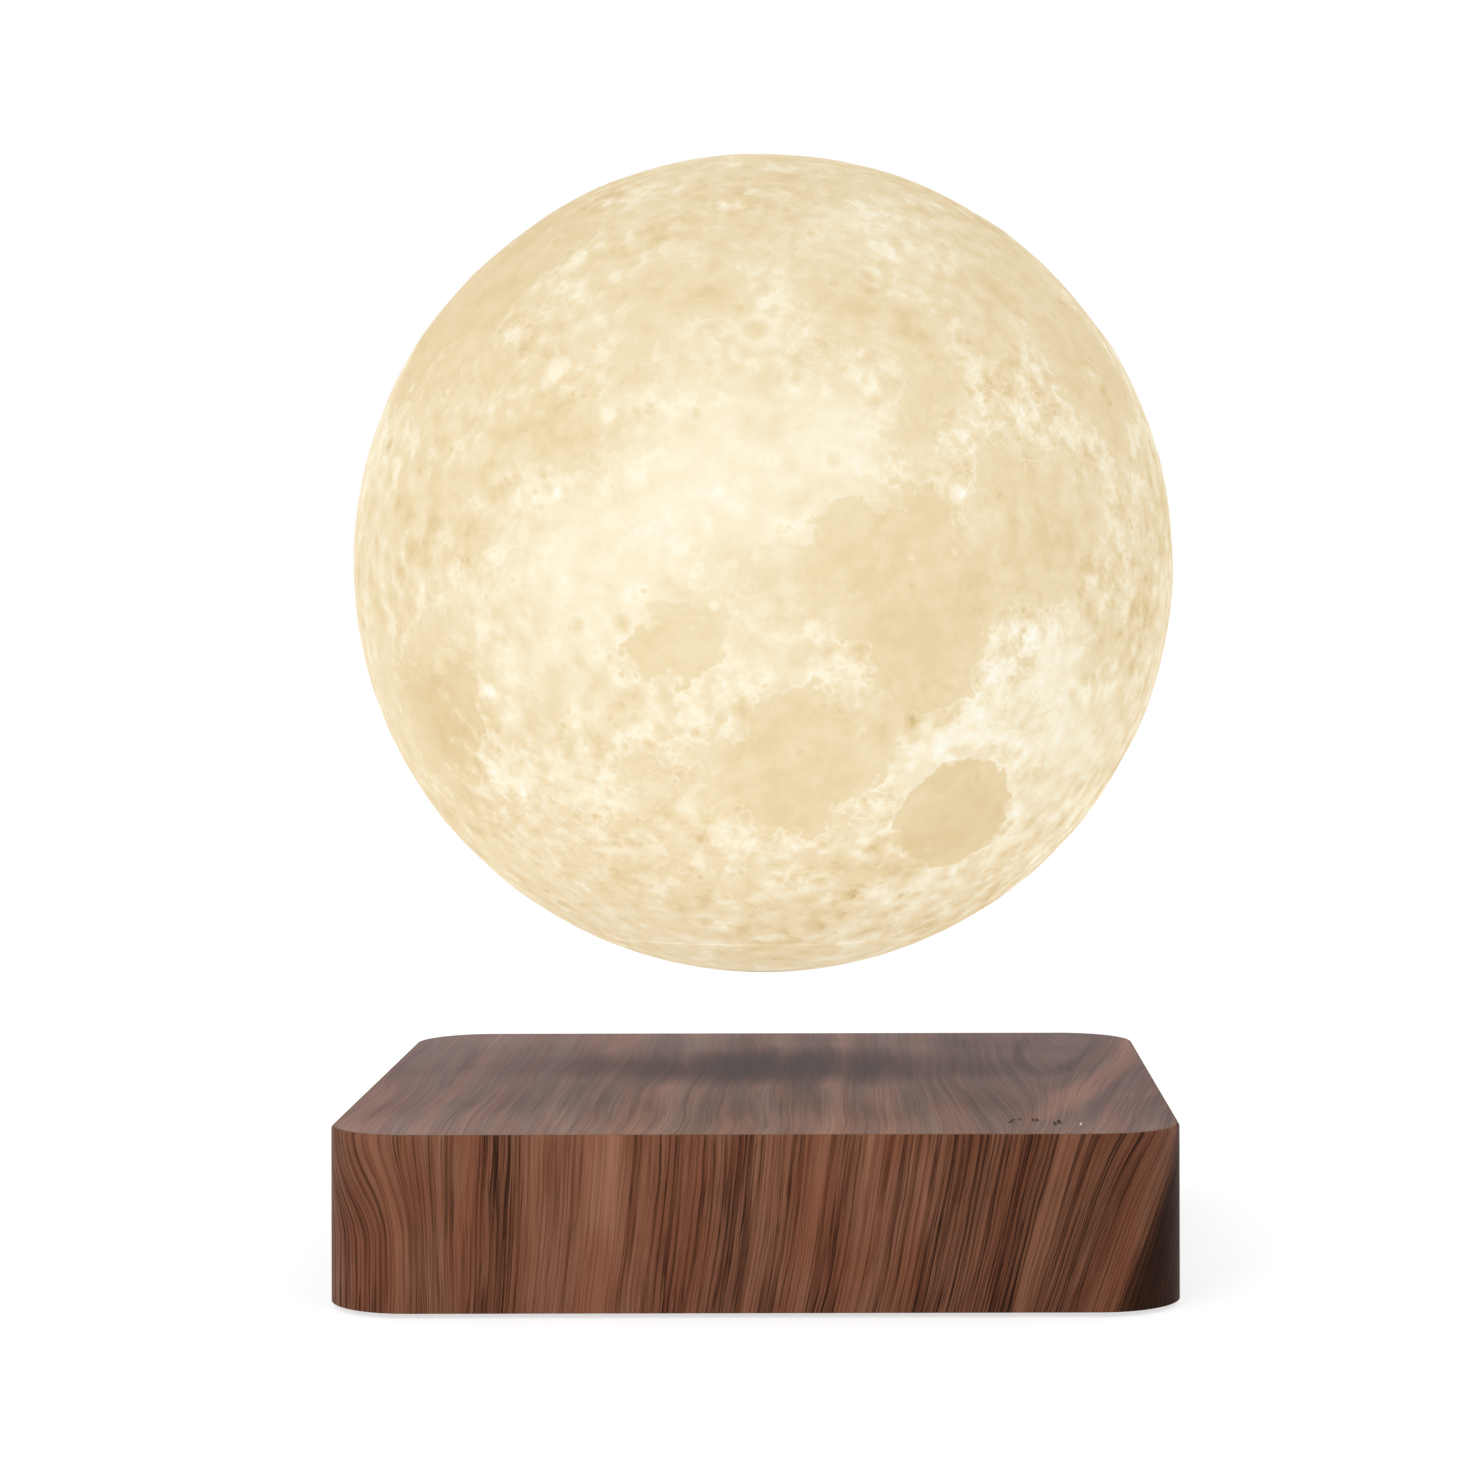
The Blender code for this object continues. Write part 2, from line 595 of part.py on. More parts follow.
def build_feet():
    mesh = rod_mesh("foot", FOOT_RADIUS, PLATE_BOTTOM_Z + FOOT_POCKET_DEPTH - CLEARANCE)
    for number, (x, y) in enumerate(four_corners(FOOT_REACH), 1):
        bevel(place(f"foot_{number}", mesh, "rubber", at=(x, y, 0)), FOOT_EDGE_ROUND, 1)


def build_plate_screws():
    mesh = screw_mesh(
        "plate_screw",
        PLATE_SCREW_HEAD_RADIUS,
        PLATE_SCREW_HEAD_HEIGHT,
        PLATE_SCREW_SHAFT_RADIUS,
        PLATE_SCREW_LENGTH,
    )
    for number, (x, y) in enumerate(four_corners(BOSS_REACH), 1):
        place(f"plate_screw_{number}", mesh, "steel", at=(x, y, PLATE_BOTTOM_Z + PLATE_SCREW_HEAD_HEIGHT))


def build_control_board():
    board = place(
        "control_board",
        block_mesh("control_board", 2 * BOARD_HALF, 2 * BOARD_HALF, BOARD_THICKNESS, BOARD_CORNER_RADIUS),
        "board_green",
        at=(0, 0, BOARD_BOTTOM_Z),
    )
    tongue_end = INNER_HALF - TONGUE_GAP
    tongue_length = tongue_end - BOARD_HALF + OVERRUN
    tongue = block_mesh("tongue", TONGUE_WIDTH, tongue_length, BOARD_THICKNESS)
    join(board, cutter("tongue", tongue, at=(0, tongue_end - tongue_length / 2, BOARD_BOTTOM_Z)))
    hole = rod_mesh("neck_hole", POST_NECK_RADIUS + CLEARANCE, BOARD_THICKNESS + 2 * OVERRUN)
    for x, y, _ in on_circle(MAGNET_CIRCLE_RADIUS, POST_COUNT):
        cut(board, cutter("neck_hole", hole, at=(x, y, BOARD_BOTTOM_Z - OVERRUN)))


def build_board_parts():
    """Chips, capacitor and inductor, in the corners of the control board outside the magnet ring."""
    reach = ELECTRONICS_REACH
    mcu = block_mesh("mcu_chip", MCU_WIDTH, MCU_WIDTH, MCU_HEIGHT)
    place("mcu_chip", mcu, "black_plastic", at=(-reach, -reach, SEAT_Z))
    driver = block_mesh("coil_driver_chip", DRIVER_WIDTH, DRIVER_DEPTH, DRIVER_HEIGHT)
    place("coil_driver_chip", driver, "black_plastic", at=(reach, -reach, SEAT_Z))
    can = rod_mesh("filter_capacitor", CAPACITOR_RADIUS, CAPACITOR_HEIGHT)
    place("filter_capacitor", can, "aluminium", at=(reach, reach, SEAT_Z))
    width = INDUCTOR_WIDTH
    choke = block_mesh("power_inductor", width, width, INDUCTOR_HEIGHT, INDUCTOR_CORNER_RADIUS)
    place("power_inductor", choke, "ferrite", at=(-reach, reach, SEAT_Z))


def build_magnet_ring():
    """Steel yoke, plastic carrier with its disc magnets, and the long screws that hold both down."""
    yoke = ring("yoke_ring", YOKE_RADIUS, CARRIER_BORE_RADIUS, YOKE_BOTTOM_Z, YOKE_TOP_Z, "steel")
    carrier = ring(
        "magnet_carrier",
        CARRIER_RADIUS,
        CARRIER_BORE_RADIUS,
        CARRIER_BOTTOM_Z,
        CARRIER_TOP_Z,
        "black_plastic",
    )
    carrier_height = CARRIER_TOP_Z - CARRIER_BOTTOM_Z
    pocket = rod_mesh("magnet_pocket", POCKET_RADIUS, carrier_height + 2 * OVERRUN)
    magnet = rod_mesh("base_magnet", MAGNET_RADIUS, carrier_height)
    places = on_circle(MAGNET_CIRCLE_RADIUS, MAGNET_COUNT, math.pi / MAGNET_COUNT)
    for number, (x, y, _) in enumerate(places, 1):
        cut(carrier, cutter("magnet_pocket", pocket, at=(x, y, CARRIER_BOTTOM_Z - OVERRUN)))
        place(f"base_magnet_{number}", magnet, "nickel", at=(x, y, CARRIER_BOTTOM_Z))

    shoulder_z = CARRIER_TOP_Z - MODULE_SCREW_SEAT - MODULE_SCREW_HEAD_HEIGHT
    screw_length = shoulder_z - PLATE_TOP_Z - MODULE_SCREW_TIP
    screw = screw_mesh(
        "module_screw",
        MODULE_SCREW_HEAD_RADIUS,
        MODULE_SCREW_HEAD_HEIGHT,
        MODULE_SCREW_SHAFT_RADIUS,
        screw_length,
    )
    hole_height = CARRIER_TOP_Z - YOKE_BOTTOM_Z + 2 * OVERRUN
    hole = rod_mesh("module_screw_hole", POST_HOLE_RADIUS, hole_height, SCREW_STEPS)
    sink_height = CARRIER_TOP_Z - shoulder_z + CLEARANCE + OVERRUN
    sink = rod_mesh("module_screw_sink", MODULE_SCREW_HEAD_RADIUS + CLEARANCE, sink_height)
    for number, (x, y, _) in enumerate(on_circle(MAGNET_CIRCLE_RADIUS, POST_COUNT), 1):
        drill = cutter("module_screw_hole", hole, at=(x, y, YOKE_BOTTOM_Z - OVERRUN))
        cut(yoke, drill)
        cut(carrier, drill)
        cut(carrier, cutter("module_screw_sink", sink, at=(x, y, shoulder_z - CLEARANCE)))
        placed = place(f"module_screw_{number}", screw, "steel", at=(x, y, shoulder_z))
        placed.rotation_euler = (math.pi, 0, 0)


def build_electromagnets():
    """One moulded frame with four sleeves, a winding round each, a core in each, and the field sensor."""
    top_z = TRAY_BOTTOM_Z - CLEARANCE
    floor_z = SEAT_Z + COIL_FRAME_THICKNESS
    disc = rod_mesh("coil_frame", COIL_FRAME_RADIUS, COIL_FRAME_THICKNESS, TURN_STEPS)
    frame = place("coil_frame", disc, "black_plastic", at=(0, 0, SEAT_Z))
    root_z = SEAT_Z + COIL_FRAME_THICKNESS / 2
    sleeve = rod_mesh("sleeve", SLEEVE_RADIUS, top_z - root_z)
    bore = rod_mesh("sleeve_bore", SLEEVE_BORE_RADIUS, top_z - floor_z + OVERRUN)
    core = rod_mesh("coil_core", CORE_RADIUS, top_z - floor_z - CLEARANCE)
    for number, (x, y, _) in enumerate(on_circle(COIL_CIRCLE_RADIUS, COIL_COUNT, math.pi / COIL_COUNT), 1):
        join(frame, cutter("sleeve", sleeve, at=(x, y, root_z)))
        cut(frame, cutter("sleeve_bore", bore, at=(x, y, floor_z)))
        winding = ring(
            f"coil_winding_{number}",
            WINDING_RADIUS,
            WINDING_BORE_RADIUS,
            floor_z + CLEARANCE,
            top_z,
            "copper",
            steps=PIN_STEPS,
        )
        winding.location = (x, y, 0)
        place(f"coil_core_{number}", core, "steel", at=(x, y, floor_z + CLEARANCE))

    sensor_board_z = top_z - SENSOR_HEADROOM - SENSOR_HEIGHT - SENSOR_BOARD_THICKNESS
    pillar_height = sensor_board_z - CLEARANCE - root_z
    pillar = block_mesh("sensor_pillar", SENSOR_PILLAR_WIDTH, SENSOR_PILLAR_WIDTH, pillar_height)
    join(frame, cutter("sensor_pillar", pillar, at=(0, 0, root_z)))
    board = place(
        "sensor_board",
        block_mesh("sensor_board", SENSOR_BOARD_WIDTH, SENSOR_BOARD_WIDTH, SENSOR_BOARD_THICKNESS),
        "board_green",
        at=(0, 0, sensor_board_z),
    )
    half_board = SENSOR_BOARD_THICKNESS / 2
    chip = block_mesh("sensor_chip", SENSOR_LENGTH, SENSOR_WIDTH, half_board + SENSOR_HEIGHT)
    join(board, cutter("sensor_chip", chip, at=(0, 0, sensor_board_z + half_board)))


def build_power_coil():
    """The tray on the magnet ring, the flat coil that feeds the globe, and its lead to the board."""
    hub_top_z = POWER_COIL_BOTTOM_Z + POWER_COIL_THICKNESS - TRAY_HUB_DROP
    turned(
        "coil_tray",
        [
            (TRAY_HUB_BORE_RADIUS, hub_top_z),
            (TRAY_HUB_RADIUS, hub_top_z),
            (TRAY_HUB_RADIUS, TRAY_TOP_Z),
            (CARRIER_RADIUS, TRAY_TOP_Z),
            (CARRIER_RADIUS, TRAY_BOTTOM_Z),
            (TRAY_BORE_RADIUS, TRAY_BOTTOM_Z),
            (TRAY_BORE_RADIUS, TRAY_TOP_Z),
            (TRAY_HUB_BORE_RADIUS, TRAY_TOP_Z),
        ],
        "black_plastic",
    )
    coil_top_z = POWER_COIL_BOTTOM_Z + POWER_COIL_THICKNESS
    ring("power_coil", POWER_COIL_RADIUS, POWER_COIL_BORE_RADIUS, POWER_COIL_BOTTOM_Z, coil_top_z, "copper")
    lead_z = POWER_COIL_BOTTOM_Z + POWER_COIL_THICKNESS / 2
    lead_x = YOKE_RADIUS + POWER_LEAD_GAP + POWER_LEAD_RADIUS
    tube(
        "power_coil_lead",
        [
            (-POWER_COIL_RADIUS - CLEARANCE, 0, lead_z),
            (POWER_LEAD_BEND - lead_x, 0, lead_z),
            (-lead_x, 0, lead_z - POWER_LEAD_BEND),
            (-lead_x, 0, (lead_z + SEAT_Z) / 2),
            (-lead_x, 0, SEAT_Z),
        ],
        POWER_LEAD_RADIUS,
        "lead_red",
    )


def build_power_socket():
    body = block_mesh("dc_jack", JACK_WIDTH, JACK_LENGTH, JACK_HEIGHT)
    jack = place("dc_jack", body, "black_plastic", at=(0, JACK_FACE_Y - JACK_LENGTH / 2, SEAT_Z))
    bore = rod_mesh("jack_bore", JACK_BORE_RADIUS, JACK_BORE_DEPTH + OVERRUN)
    cut(jack, cutter("jack_bore", bore, at=(0, JACK_FACE_Y + OVERRUN, JACK_AXIS_Z), tilt=math.pi / 2))
    seat_y = JACK_FACE_Y - JACK_BORE_DEPTH
    seat = rod_mesh("pin_seat", JACK_PIN_RADIUS + CLEARANCE, JACK_PIN_SEAT_DEPTH + OVERRUN, SCREW_STEPS)
    cut(jack, cutter("pin_seat", seat, at=(0, seat_y + OVERRUN, JACK_AXIS_Z), tilt=math.pi / 2))
    pin_seat_depth = JACK_PIN_SEAT_DEPTH - CLEARANCE
    pin = rod_mesh("dc_jack_pin", JACK_PIN_RADIUS, JACK_PIN_LENGTH + pin_seat_depth, SCREW_STEPS)
    placed = place("dc_jack_pin", pin, "nickel", at=(0, seat_y + JACK_PIN_LENGTH, JACK_AXIS_Z))
    placed.rotation_euler = (math.pi / 2, 0, 0)


def build_touch_key():
    """The capacitive key under the front right corner: board, pad, indicator and lead."""
    flange_bottom_z = CEILING_Z - CLEARANCE - LIGHT_PIPE_FLANGE_HEIGHT
    pipe = turned(
        "indicator_light_pipe",
        [
            (0, COVER_TOP_Z - LIGHT_PIPE_SINK),
            (LIGHT_PIPE_RADIUS, COVER_TOP_Z - LIGHT_PIPE_SINK),
            (LIGHT_PIPE_RADIUS, CEILING_Z - CLEARANCE),
            (LIGHT_PIPE_FLANGE_RADIUS, CEILING_Z - CLEARANCE),
            (LIGHT_PIPE_FLANGE_RADIUS, flange_bottom_z),
            (0, flange_bottom_z),
        ],
        "clear_plastic",
        steps=SCREW_STEPS,
    )
    pipe.location = (INDICATOR_X, INDICATOR_Y, 0)
    led_z = flange_bottom_z - CLEARANCE - INDICATOR_LED_HEIGHT
    led = block_mesh("indicator_led", INDICATOR_LED_LENGTH, INDICATOR_LED_WIDTH, INDICATOR_LED_HEIGHT)
    place("indicator_led", led, "board_white", at=(INDICATOR_X, INDICATOR_Y, led_z))

    board_top_z = led_z - CLEARANCE
    board_bottom_z = board_top_z - TOUCH_BOARD_THICKNESS
    board_left = TOUCH_BOARD_RIGHT_X - TOUCH_BOARD_LENGTH
    board_rear = TOUCH_BOARD_FRONT_Y + TOUCH_BOARD_WIDTH
    board = block_mesh("touch_board", TOUCH_BOARD_LENGTH, TOUCH_BOARD_WIDTH, TOUCH_BOARD_THICKNESS)
    middle_x = board_left + TOUCH_BOARD_LENGTH / 2
    middle_y = board_rear - TOUCH_BOARD_WIDTH / 2
    place("touch_board", board, "board_green", at=(middle_x, middle_y, board_bottom_z))

    pad_z = board_top_z + CLEARANCE
    pad = block_mesh("touch_pad", TOUCH_PAD_LENGTH, TOUCH_PAD_WIDTH, CEILING_Z - CLEARANCE - pad_z)
    pad_x = board_left + TOUCH_PAD_LEFT_INSET + TOUCH_PAD_LENGTH / 2
    pad_y = board_rear - TOUCH_PAD_REAR_INSET - TOUCH_PAD_WIDTH / 2
    place("touch_pad", pad, "foam", at=(pad_x, pad_y, pad_z))

    lead_x = board_left + TOUCH_LEAD_INSET
    lead_y = board_rear - TOUCH_LEAD_INSET
    lead_top_z = board_bottom_z - CLEARANCE
    middle_z = (lead_top_z + SEAT_Z) / 2
    tube(
        "touch_lead",
        [
            (lead_x, lead_y, lead_top_z),
            (lead_x, lead_y, lead_top_z - TOUCH_LEAD_SWAY),
            (lead_x + TOUCH_LEAD_SWAY / 2, lead_y, middle_z),
            (lead_x + TOUCH_LEAD_SWAY, lead_y, SEAT_Z + TOUCH_LEAD_SWAY),
            (lead_x + TOUCH_LEAD_SWAY, lead_y, SEAT_Z),
        ],
        TOUCH_LEAD_RADIUS,
        "lead_red",
    )


def build_globe(moon):
    """The hollow globe, open below, and the ring glued in its mouth."""
    mouth_angle = math.pi - math.asin(MOUTH_RADIUS / MOON_RADIUS)
    inner_mouth_angle = math.pi - math.asin(MOUTH_RADIUS / MOON_INNER_RADIUS)
    outer = arc(MOON_RADIUS, 0, mouth_angle, GLOBE_ARC_STEPS)
    inner = arc(MOON_INNER_RADIUS, inner_mouth_angle, 0, GLOBE_INNER_ARC_STEPS)
    turned("moon_shell", outer + inner, "globe_plastic", moon, GLOBE_STEPS)

    ring_bore = CUP_OUTER_RADIUS + CLEARANCE
    seat_sphere = MOON_INNER_RADIUS - SPHERE_CLEARANCE
    ring_top_z = NECK_RING_Z + NECK_RING_HEIGHT
    seat_start = math.acos((ring_top_z - NECK_RING_LAND) / seat_sphere)
    seat_end = math.acos(NECK_RING_Z / seat_sphere)
    seat = arc(seat_sphere, seat_start, seat_end, CAP_ARC_STEPS)
    profile = [(ring_bore, ring_top_z), (seat[0][0], ring_top_z), *seat, (ring_bore, NECK_RING_Z)]
    neck = turned("neck_ring", profile, "cap_plastic", moon)
    pilot = rod_mesh(
        "cap_pilot", CAP_SCREW_SHAFT_RADIUS + CLEARANCE, NECK_RING_HEIGHT + 2 * OVERRUN, SCREW_STEPS
    )
    for x, y, _ in on_circle(CAP_SCREW_CIRCLE_RADIUS, CAP_SCREW_COUNT, math.pi / 2):
        cut(neck, cutter("cap_pilot", pilot, at=(x, y, NECK_RING_Z - OVERRUN), parent=moon))


def build_cap(moon):
    """The round cap that closes the globe's mouth, and the screws that hold it to the neck ring."""
    rim_angle = math.pi - math.asin(CAP_RADIUS / MOON_RADIUS)
    cap = turned(
        "shell_cap",
        [
            (0, POCKET_FLOOR_Z),
            (MAGNET_POCKET_RADIUS, POCKET_FLOOR_Z),
            (MAGNET_POCKET_RADIUS, COIL_LEDGE_Z),
            (CUP_LOWER_RADIUS, COIL_LEDGE_Z),
            (CUP_LOWER_RADIUS, BOARD_LEDGE_Z),
            (CUP_UPPER_RADIUS, BOARD_LEDGE_Z),
            (CUP_UPPER_RADIUS, CUP_TOP_Z),
            (CUP_OUTER_RADIUS, CUP_TOP_Z),
            (CUP_OUTER_RADIUS, FLANGE_TOP_Z),
            (CAP_RADIUS, FLANGE_TOP_Z),
            *arc(MOON_RADIUS, rim_angle, math.pi, CAP_ARC_STEPS)[:-1],
            (0, -MOON_RADIUS),
        ],
        "cap_plastic",
        moon,
    )
    lowest_z = -MOON_RADIUS - OVERRUN
    drill = rod_mesh(
        "cap_screw_hole", CAP_SCREW_SHAFT_RADIUS + CLEARANCE, FLANGE_TOP_Z + OVERRUN - lowest_z, SCREW_STEPS
    )
    sink = rod_mesh("cap_screw_sink", CAP_SCREW_HEAD_RADIUS + CLEARANCE, CAP_SCREW_SHOULDER_Z - lowest_z)
    screw = screw_mesh(
        "cap_screw", CAP_SCREW_HEAD_RADIUS, CAP_SCREW_HEAD_HEIGHT, CAP_SCREW_SHAFT_RADIUS, CAP_SCREW_LENGTH
    )
    places = on_circle(CAP_SCREW_CIRCLE_RADIUS, CAP_SCREW_COUNT, math.pi / 2)
    for number, (x, y, _) in enumerate(places, 1):
        cut(cap, cutter("cap_screw_hole", drill, at=(x, y, lowest_z), parent=moon))
        cut(cap, cutter("cap_screw_sink", sink, at=(x, y, lowest_z), parent=moon))
        seat = (x, y, CAP_SCREW_SHOULDER_Z - CLEARANCE)
        place(f"cap_screw_{number}", screw, "steel", at=seat, parent=moon)


def build_receiver(moon):
    coil_top_z = RECEIVER_COIL_Z + RECEIVER_COIL_HEIGHT
    ring(
        "receiver_coil",
        RECEIVER_COIL_RADIUS,
        RECEIVER_COIL_BORE_RADIUS,
        RECEIVER_COIL_Z,
        coil_top_z,
        "copper",
        moon,
    )
    board = rod_mesh("receiver_board", RECEIVER_BOARD_RADIUS, RECEIVER_BOARD_THICKNESS, TURN_STEPS)
    place("receiver_board", board, "board_green", at=(0, 0, RECEIVER_BOARD_Z), parent=moon)


def build_light(moon):
    """The column on the receiver board, and the light board, chip, lens and lead that it carries."""
    post = rod_mesh("led_post", LED_POST_RADIUS, LED_POST_HEIGHT)
    place("led_post", post, "aluminium", at=(0, 0, LED_POST_Z), parent=moon)
    board = rod_mesh("led_board", LED_BOARD_RADIUS, LED_BOARD_THICKNESS)
    place("led_board", board, "board_white", at=(0, 0, LED_BOARD_Z), parent=moon)
    chip = block_mesh("led_chip", LED_CHIP_WIDTH, LED_CHIP_WIDTH, LED_CHIP_HEIGHT, LED_CHIP_CORNER_RADIUS)
    place("led_chip", chip, "led_yellow", at=(0, 0, LED_SEAT_Z), parent=moon)
    outer = arc(LENS_RADIUS, 0, math.pi / 2, LENS_ARC_STEPS)
    inner = arc(LENS_RADIUS - LENS_WALL, math.pi / 2, 0, LENS_ARC_STEPS)
    lens = turned("led_lens", outer + inner, "clear_plastic", moon, PIN_STEPS)
    lens.location = (0, 0, LED_SEAT_Z)
    lead_x = LED_POST_RADIUS + LED_LEAD_GAP + LED_LEAD_RADIUS
    lead_end_z = LED_BOARD_Z - CLEARANCE
    tube(
        "led_lead",
        [(lead_x, 0, LED_POST_Z), (lead_x, 0, (LED_POST_Z + lead_end_z) / 2), (lead_x, 0, lead_end_z)],
        LED_LEAD_RADIUS,
        "lead_red",
        parent=moon,
    )


def build_float_magnet(float_axis):
    magnet = rod_mesh("float_magnet", FLOAT_MAGNET_RADIUS, FLOAT_MAGNET_HEIGHT, TURN_STEPS)
    place("float_magnet", magnet, "nickel", at=(0, 0, FLOAT_MAGNET_Z), parent=float_axis)


def axis_empty(name, parent=None):
    """An empty at the globe's centre, on the upright axis that it floats and turns about."""
    empty = bpy.data.objects.new(name, None)
    PARTS.objects.link(empty)
    empty.parent = parent
    return empty


def main():
    build_cover()
    build_bottom_plate()
    build_feet()
    build_plate_screws()
    build_control_board()
    build_board_parts()
    build_magnet_ring()
    build_electromagnets()
    build_power_coil()
    build_power_socket()
    build_touch_key()
    float_axis = axis_empty("float_axis")
    float_axis.location = (0, 0, MOON_CENTRE_Z)
    moon = axis_empty("moon_axis", float_axis)
    build_float_magnet(float_axis)
    build_globe(moon)
    build_cap(moon)
    build_receiver(moon)
    build_light(moon)


main()
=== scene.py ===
import math

import bmesh
import bpy
import numpy as np
from mathutils import Matrix, Vector, noise


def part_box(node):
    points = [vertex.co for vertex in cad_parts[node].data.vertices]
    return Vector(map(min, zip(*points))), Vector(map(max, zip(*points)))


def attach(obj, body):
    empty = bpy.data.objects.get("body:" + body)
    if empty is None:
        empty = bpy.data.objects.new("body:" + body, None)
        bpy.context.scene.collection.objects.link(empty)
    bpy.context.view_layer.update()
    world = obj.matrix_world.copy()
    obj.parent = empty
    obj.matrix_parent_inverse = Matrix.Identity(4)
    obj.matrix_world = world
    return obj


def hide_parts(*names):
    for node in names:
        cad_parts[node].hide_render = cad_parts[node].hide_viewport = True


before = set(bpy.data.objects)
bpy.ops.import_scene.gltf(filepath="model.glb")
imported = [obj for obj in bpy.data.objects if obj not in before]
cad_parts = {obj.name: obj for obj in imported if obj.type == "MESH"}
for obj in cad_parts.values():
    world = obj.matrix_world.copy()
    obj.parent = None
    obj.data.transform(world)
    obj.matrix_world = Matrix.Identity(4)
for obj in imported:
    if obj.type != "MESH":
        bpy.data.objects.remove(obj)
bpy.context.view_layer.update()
print("frame loaded,", len(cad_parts), "nodes")


# camera: level with the globe, a little to the right of the base's middle
cameraView = {
    "place": (0.024, -0.7998, 0.1399),
    "roll": 0.0021,
    "lens": 88.7,
    "sensor": 36,
    "shift": (-0.0907, -0.0916),
}


def setCamera():
    lens = bpy.data.cameras.new("camera")
    lens.lens = cameraView["lens"]
    lens.sensor_width = cameraView["sensor"]
    lens.shift_x, lens.shift_y = cameraView["shift"]
    camera = bpy.data.objects.new("camera", lens)
    camera.location = cameraView["place"]
    camera.rotation_euler = (math.pi / 2, cameraView["roll"], 0)
    bpy.context.scene.collection.objects.link(camera)
    bpy.context.scene.camera = camera


setCamera()
print("camera set")


# shader sums written as Python
def screen(text):
    # a colour as it is seen on screen, "#rrggbb", made linear
    parts = [int(text[i:i + 2], 16) / 255 for i in (1, 3, 5)]
    return (*[p / 12.92 if p <= 0.04045 else ((p + 0.055) / 1.055) ** 2.4 for p in parts], 1.0)


class Wire:
    # one output of a node
    def __init__(self, finish, socket):
        self.finish = finish
        self.socket = socket

    def __add__(self, other):
        return self.finish.calc("ADD", self, other)

    def __radd__(self, other):
        return self.finish.calc("ADD", other, self)

    def __sub__(self, other):
        return self.finish.calc("SUBTRACT", self, other)

    def __rsub__(self, other):
        return self.finish.calc("SUBTRACT", other, self)

    def __mul__(self, other):
        return self.finish.calc("MULTIPLY", self, other)

    def __rmul__(self, other):
        return self.finish.calc("MULTIPLY", other, self)

    def __truediv__(self, other):
        return self.finish.calc("DIVIDE", self, other)

    def __pow__(self, other):
        return self.finish.calc("POWER", self, other)

    def __abs__(self):
        return self.finish.calc("ABSOLUTE", self)


